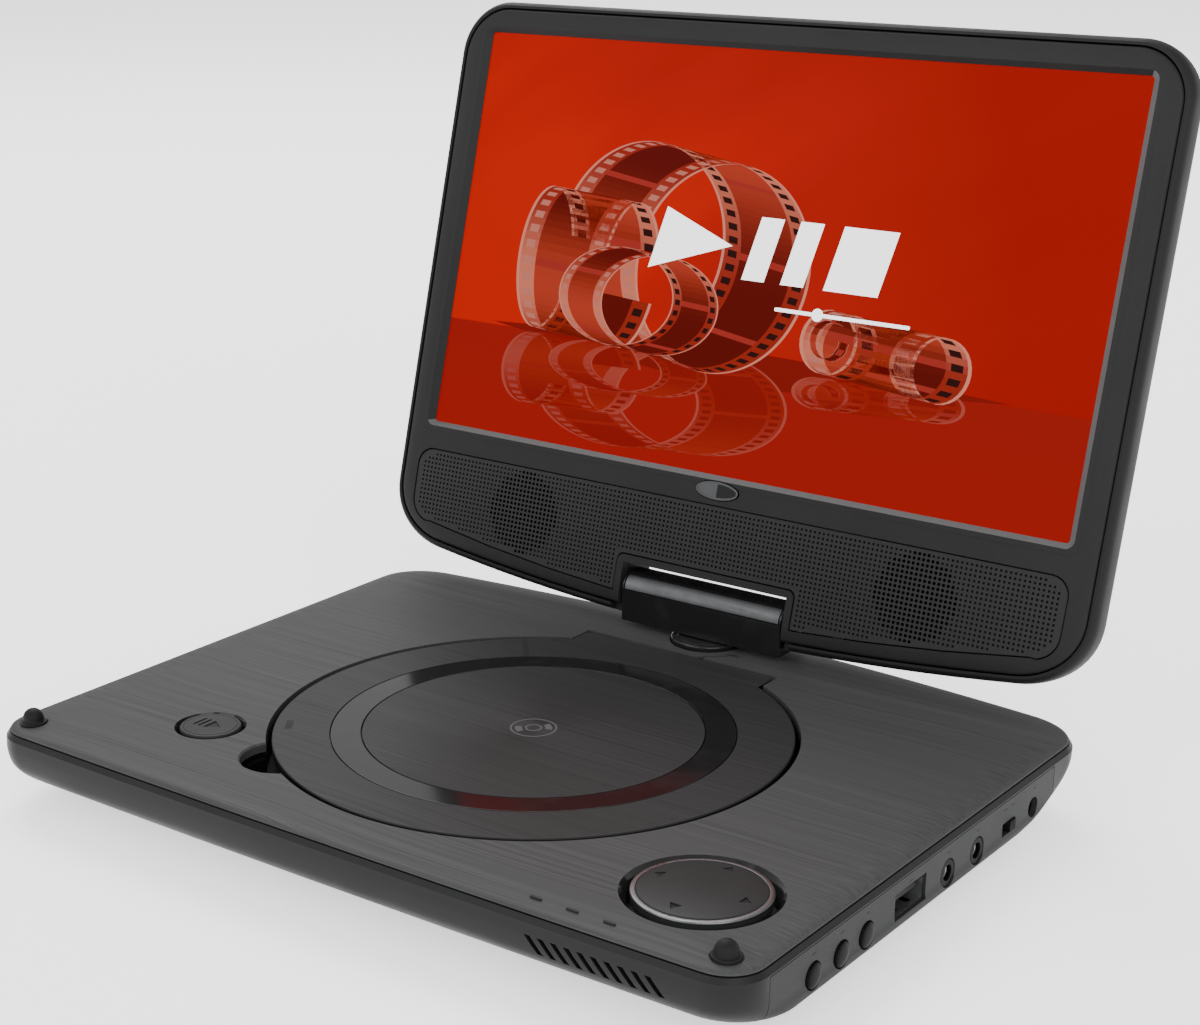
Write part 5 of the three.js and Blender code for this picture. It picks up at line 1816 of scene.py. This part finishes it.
@dataclass
class Lid:
    """Rear shell, bezel, perforated grille, badge and what stands between them.

    Attributes:
        axes: The lid axes.
        casing: The lid's outline.
        notch: Half width, top and wall of the hinge notch.
        grille: Half width and top of the grille.
        pitch: Distance between the grille's holes.
        speakers: Speaker centres along X, their height and the radius that shows.
        carried: Pieces that keep their CAD shape: name, node, slot, finish and bevel.
    """

    axes: Axes
    casing: Casing = Casing(110, 0.4, 156.1, 18, 15, 8.6)
    notch: Point3 = (26, 6.3, 1.5)
    grille: Point2 = (102.3, 26.4)
    pitch: float = 1.32
    speakers: tuple[Point2, float, float] = ((-62, 62), 13.5, 11.5)
    carried: tuple[tuple[str, str, Slot, Finish, float], ...] = (
        ("frame_backlight", "backlight_frame", Slot.GEAR, Palette.WHITE, 0.3),
        ("board_driver", "driver_board", Slot.BOARD, Palette.BOARD, 0.1),
        ("bracket_left", "hinge_bracket_left", Slot.SHEET, Palette.SHEET, 0.15),
        ("bracket_right", "hinge_bracket_right", Slot.SHEET, Palette.SHEET, 0.15),
    )

    def make_back(self) -> None:
        """The rear shell, with a bordered panel line and six covered screws."""
        c = self.casing
        rise = [(5.6, c, 1.3), (5.2, c, 0.8), (4.6, c, 0.4), (3, c, 0), (-1, c, 0.2), (-4, c, 1.3),
                (-6.2, c, 3.8), (-7.2, c, 7), (-7.54, c, 13)]
        back = Work.loft(smooth_levels(rise, 3, keep=1))
        half, top, wall = self.notch
        inner = [(12, c, 2.0), (-1, c, 2.0), (-3.4, c, 3.2), (-5.9, c, 7.0)]
        hollow = Work.loft(smooth_levels(inner, 3, keep=1))
        hollow.cut(Work.box((-half - wall, -20, -20), (half + wall, top + wall, 3.2)))
        back.cut(hollow, Work.box((-half, -20, -20), (half, top, 20)),
                 Work.box((-half - wall - 1, -20, 3.2), (half + wall + 1, top + 3, 20)),
                 Work.rod_x(-half - 5, half + 5, 0, 0, 2.1))
        places = [(x, y) for x in (-96, 96) for y in (20, 142)] + [(-40, 16), (40, 16)]
        back.cut(*(Work.rod(x, y, -9, -7.05, 3.2, sides=48) for x, y in places))
        line = Work.prism(rounded(0, 84, 86, 54, 9, 12), -9, -7.34)
        back.cut(line.cut(Work.prism(rounded(0, 84, 85.6, 53.6, 8.6, 12), -10, -6)))
        back.bevel(0.15, 2, 45).paint(Palette.LID_BACK)
        back.settle("shell_rear", self.axes, Body.LID, Slot.SIDE, ["rear_shell"])
        plug = [(0, -6.9), (3.05, -6.9), (3.05, -7.35), (2.8, -7.5), (0, -7.5)]
        plugs = Work.together([Work.turned(plug, x, y, 48) for x, y in places])
        plugs.paint(Palette.RUBBER).settle("screw_plugs", self.axes, Body.LID, Slot.RUBBER)

    def grille_outline(self, inset: float) -> list[Point2]:
        """The grille's outline: it follows the lid's lower edge and steps round the notch.

        Args:
            inset: How far it moves in.

        Returns:
            The outline.
        """
        half, top = (size - inset for size in self.grille)
        step_x, step_y = self.notch[0] + 2 + inset, self.notch[1] + 2 + inset
        edge = half - 7

        def low(x: float) -> float:
            """The height of the bowed lower edge."""
            return -2.8 + inset + 0.00087 * x * x

        side = [(x, low(x)) for x in (step_x + 4, 50, 72, edge)]
        side += arc(edge, low(edge) + 6.6, 6.9, -78, 0, 6)
        side += arc(half - 5, top - 5, 5, 0, 90, 6)
        left = [(-x, y) for x, y in reversed(side)]
        corner = arc(step_x - 2, step_y - 2, 2, 90, 0, 5)
        return [*corner, (step_x, low(step_x)), *side, *left, (-step_x, low(step_x)),
                *((-x, y) for x, y in reversed(corner))]

    def make_bezel(self) -> None:
        """The bezel with its rolled rim, sloped display frame, notch border and grille seat."""
        c = self.casing
        rise = [(3.5, c, 2.4), (5.2, c, 2.4), (5.6, c, 2.7), (5.9, c, 3.3), (6.3, c, 5.4), (6.46, c, 8.5)]
        bezel = Work.loft(smooth_levels(rise, 3, keep=1))
        half, top, _ = self.notch
        bezel.cut(Work.prism(c.outline(4.4), 0, 4.8))
        frame = Work.box((-half - 1.5, -20, 3.5), (half + 1.5, top + 1.5, 5.2))
        bezel.join(frame.keep(Work.loft([(3.5, c, 2.4), (5.2, c, 2.4)])))
        slope = Work.raised([[(u, v, z) for u, v in rounded(0, DISPLAY_Y, w, h, r, 6)]
                             for w, h, r, z in ((99.4, 56.4, 1.0, 4.96), (101.5, 57.9, 2.6, 6.66))])
        bezel.cut(Work.prism(rounded(0, DISPLAY_Y, 99.4, 56.4, 1.0, 6), 0, 20), slope,
                  Work.box((-half, -20, -20), (half, top, 20)), Work.prism(self.badge_outline(0.3), 5.7, 20),
                  Work.prism(self.grille_outline(0), 0, 20))
        line = Work.prism(rounded(0, DISPLAY_Y, 103.0, 59.4, 3.2, 6), 6.38, 9)
        bezel.cut(line.cut(Work.prism(rounded(0, DISPLAY_Y, 102.7, 59.1, 3.0, 6), 6, 10)))
        bezel.bevel(0.2, 2, 32).paint(Palette.BEZEL)
        # Painted highlight: only the lower and right slopes of the display frame take the lighter finish,
        # where the light catches them.
        bezel.paint(Palette.FRAME_HIGHLIGHT, lambda p, n: 0.1 < n.z < 0.9 and p.z > 4.9 and (
            (32.6 < p.y < 34.6 and abs(p.x) < 101.2) or (99.2 < p.x < 101.6 and 33 < p.y < 148.8)))
        bezel.settle("bezel_front", self.axes, Body.LID, Slot.BEZEL, ["front_bezel"])

    def make_grille(self) -> None:
        """The grille plate: a square grid of holes, blind except over the speakers."""
        plate = Work.prism(self.grille_outline(0.3), 5, 6.3)
        plate.bevel(0.15, 1, 45)
        bound = self.grille_outline(1.5)
        spots, height, reach = self.speakers
        columns, rows = 154, 24

        def inside(x: float, y: float) -> bool:
            """Whether a point lies inside the holes' outline."""
            hit = False
            for (ax, ay), (bx, by) in zip(bound, bound[1:] + bound[:1]):
                if (ay > y) != (by > y) and x < (bx - ax) * (y - ay) / (by - ay) + ax:
                    hit = not hit
            return hit

        for depth, radius, over in ((5.7, 0.37, False), (4.5, 0.47, True)):
            x0, y0 = -self.pitch * (columns - 1) / 2, -4.3
            holes = Work.rod(x0, y0, depth, 7, radius, sides=HOLE_SIDES)
            for offset, count in (((self.pitch, 0, 0), columns), ((0, self.pitch, 0), rows)):
                holes.apply("ARRAY", use_relative_offset=False, use_constant_offset=True,
                            constant_offset_displace=offset, count=count)
            each = 2 * HOLE_SIDES
            with editing(holes.thing) as mesh:
                mesh.verts.ensure_lookup_table()
                for i in range(columns * rows):
                    x, y = x0 + self.pitch * (i % columns), y0 + self.pitch * (i // columns)
                    near = any(math.dist((x, y), (s, height)) < reach for s in spots)
                    wanted = inside(x, y) and near == over
                    for vertex in mesh.verts[i * each:(i + 1) * each]:
                        vertex.select = not wanted
                mesh.select_flush(True)
                mesh.select_flush(False)
                bpy.ops.mesh.delete(type="VERT")
            plate.cut(holes)
        # Painted shade: the hole walls and the floors of the blind holes take the near-black inner finish,
        # darker than the grille plate itself.
        plate.paint(Palette.GRILLE).paint(Palette.INNER, lambda c, n: c.z < 6.0)
        plate.settle("grille_plate", self.axes, Body.LID, Slot.BEZEL, ["speaker_grille"])

    @staticmethod
    def badge_outline(grow: float) -> list[Point2]:
        """The oval of the badge, grown by an amount."""
        turns = [math.tau * i / 64 for i in range(64)]
        return [((6.6 + grow) * math.cos(turn), 30.3 + (2.4 + grow) * math.sin(turn)) for turn in turns]

    def make_badge(self) -> None:
        """A plain oval badge with a raised rim and a dark half field."""
        badge = Work.prism(self.badge_outline(0), 6, 6.85)
        badge.cut(Work.prism(self.badge_outline(-0.45), 6.72, 7)).bevel(0.08, 2, 40)
        badge.paint(Palette.BADGE)
        badge.settle("badge_oval", self.axes, Body.LID, Slot.TRIM, ["badge"])
        right_half = [point for point in self.badge_outline(-0.6) if point[0] > -0.3]
        dark = Work.prism(right_half, 6.71, 6.75).bevel(0.015, 1, 40)
        dark.paint(Palette.BLACK).settle("badge_field", self.axes, Body.LID, Slot.GLOSS)

    def make_speakers(self) -> None:
        """The two speakers: basket, rolled surround, cone and dust cap."""
        spots, height, _ = self.speakers
        face = 4.6  # nothing stands closer to the grille
        profile = [(0, -2), (7, -2), (7, 0.5), (11, 2.2), (11, 4.2), (10.2, 4.2),
                   *arc(9.3, 3.7, 0.9, 0, 180, 8), (8.2, 3.2), (3.6, 2),
                   *arc(0, 1.2, 3.9, 25, 88, 8), (0, face)]
        for side, x in zip(("left", "right"), spots):
            driver = Work.turned([(r, min(z, face)) for r, z in profile], x, height, 64)
            driver.paint(Palette.CLOTH)
            driver.paint(Palette.RUBBER, lambda c, n: c.z > 3.4 and math.dist(c.xy, (x, height)) > 8.2)
            driver.settle(f"driver_{side}", self.axes, Body.LID, Slot.INNER, [f"speaker_{side}"], 50)

    def build(self) -> None:
        """Makes the lid."""
        self.make_back()
        self.make_bezel()
        self.make_grille()
        self.make_badge()
        self.make_speakers()
        for name, node, slot, finish, width in self.carried:
            piece = Work.node(node, self.axes).bevel(width, 1, 45).paint(finish)
            piece.settle(name, self.axes, Body.LID, slot, [node])


# ---------------------------------------------------------------- the studio


@dataclass
class Studio:
    """Floor, lights and camera.

    Attributes:
        axes: The base axes.
        eye: Where the camera stands, in base axes.
        target: What it looks at, in base axes.
        lens: Focal length in millimetres on a 36 mm sensor.
        shift: Sensor shift.
        lamps: Name, place, target, size in metres and power of each soft light.
    """

    axes: Axes
    eye: Point3 = (309.3, -412.2, 212.2)
    target: Point3 = (0, 0, 40)
    lens: float = 67.64
    shift: Point2 = (0.0511, 0.0536)
    lamps: tuple[tuple[str, Point3, Point3, Point2, float], ...] = (
        ("key", (-0.9, 0.7, 1.5), (0, 0, 0.05), (1.2, 1.2), 30),
        ("fill", (1.2, -0.9, 0.9), (0, 0, 0.05), (1.2, 1.0), 14),
        ("front", (-0.5, -1.4, 0.9), (0, 0, 0.05), (1.4, 0.8), 10),
    )

    @staticmethod
    def aim(thing: bpy.types.Object, target: Vector) -> None:
        """Points an object's -Z axis at a place."""
        thing.rotation_euler = (target - thing.location).to_track_quat("-Z", "Y").to_euler()

    def make_floor(self) -> None:
        """A wide pale floor."""
        deselect()
        bpy.ops.mesh.primitive_plane_add(size=30, location=(0, 0, 0))
        floor = bpy.context.active_object
        floor.name = "studio_floor"
        floor.data.materials.append(Palette.PAPER.material())

    def make_light(self) -> None:
        """Soft lights and a pale surround."""
        for name, place, target, size, power in self.lamps:
            data = bpy.data.lights.new(name, "AREA")
            data.shape, data.size, data.size_y, data.energy = "RECTANGLE", size[0], size[1], power
            lamp = bpy.data.objects.new(name, data)
            bpy.context.scene.collection.objects.link(lamp)
            lamp.location = place
            self.aim(lamp, Vector(target))
        world = bpy.data.worlds.new("studio_air")
        world.use_nodes = True
        air = world.node_tree.nodes["Background"]
        air.inputs["Color"].default_value = (1, 1, 1, 1)
        air.inputs["Strength"].default_value = 1.0
        bpy.context.scene.world = world

    def make_camera(self) -> None:
        """The camera."""
        data = bpy.data.cameras.new("camera")
        data.lens, data.sensor_width, data.clip_start = self.lens, 36, 0.01
        data.shift_x, data.shift_y = self.shift
        camera = bpy.data.objects.new("camera", data)
        bpy.context.scene.collection.objects.link(camera)
        camera.location = self.axes.matrix @ Vector(self.eye)
        self.aim(camera, self.axes.matrix @ Vector(self.target))
        bpy.context.scene.camera = camera

    def build(self) -> None:
        """Makes the studio."""
        self.make_camera()
        self.make_floor()
        self.make_light()


def main() -> None:
    """Loads the frame and builds every sub-assembly in order."""
    logging.basicConfig(level=logging.INFO, format="%(name)s: %(message)s")
    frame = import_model()
    base, lid = Axes.base(), Axes.lid(frame["joints"])
    for assembly in (Studio(base), BaseCasing(base), DiscDoor(base), Keys(base), Sockets(base), Drive(base),
                     SwivelHinge(base), Lid(lid), Display(lid)):
        assembly.build()
        LOG.info("%s is done", type(assembly).__name__)


if __name__ == "__main__":
    main()
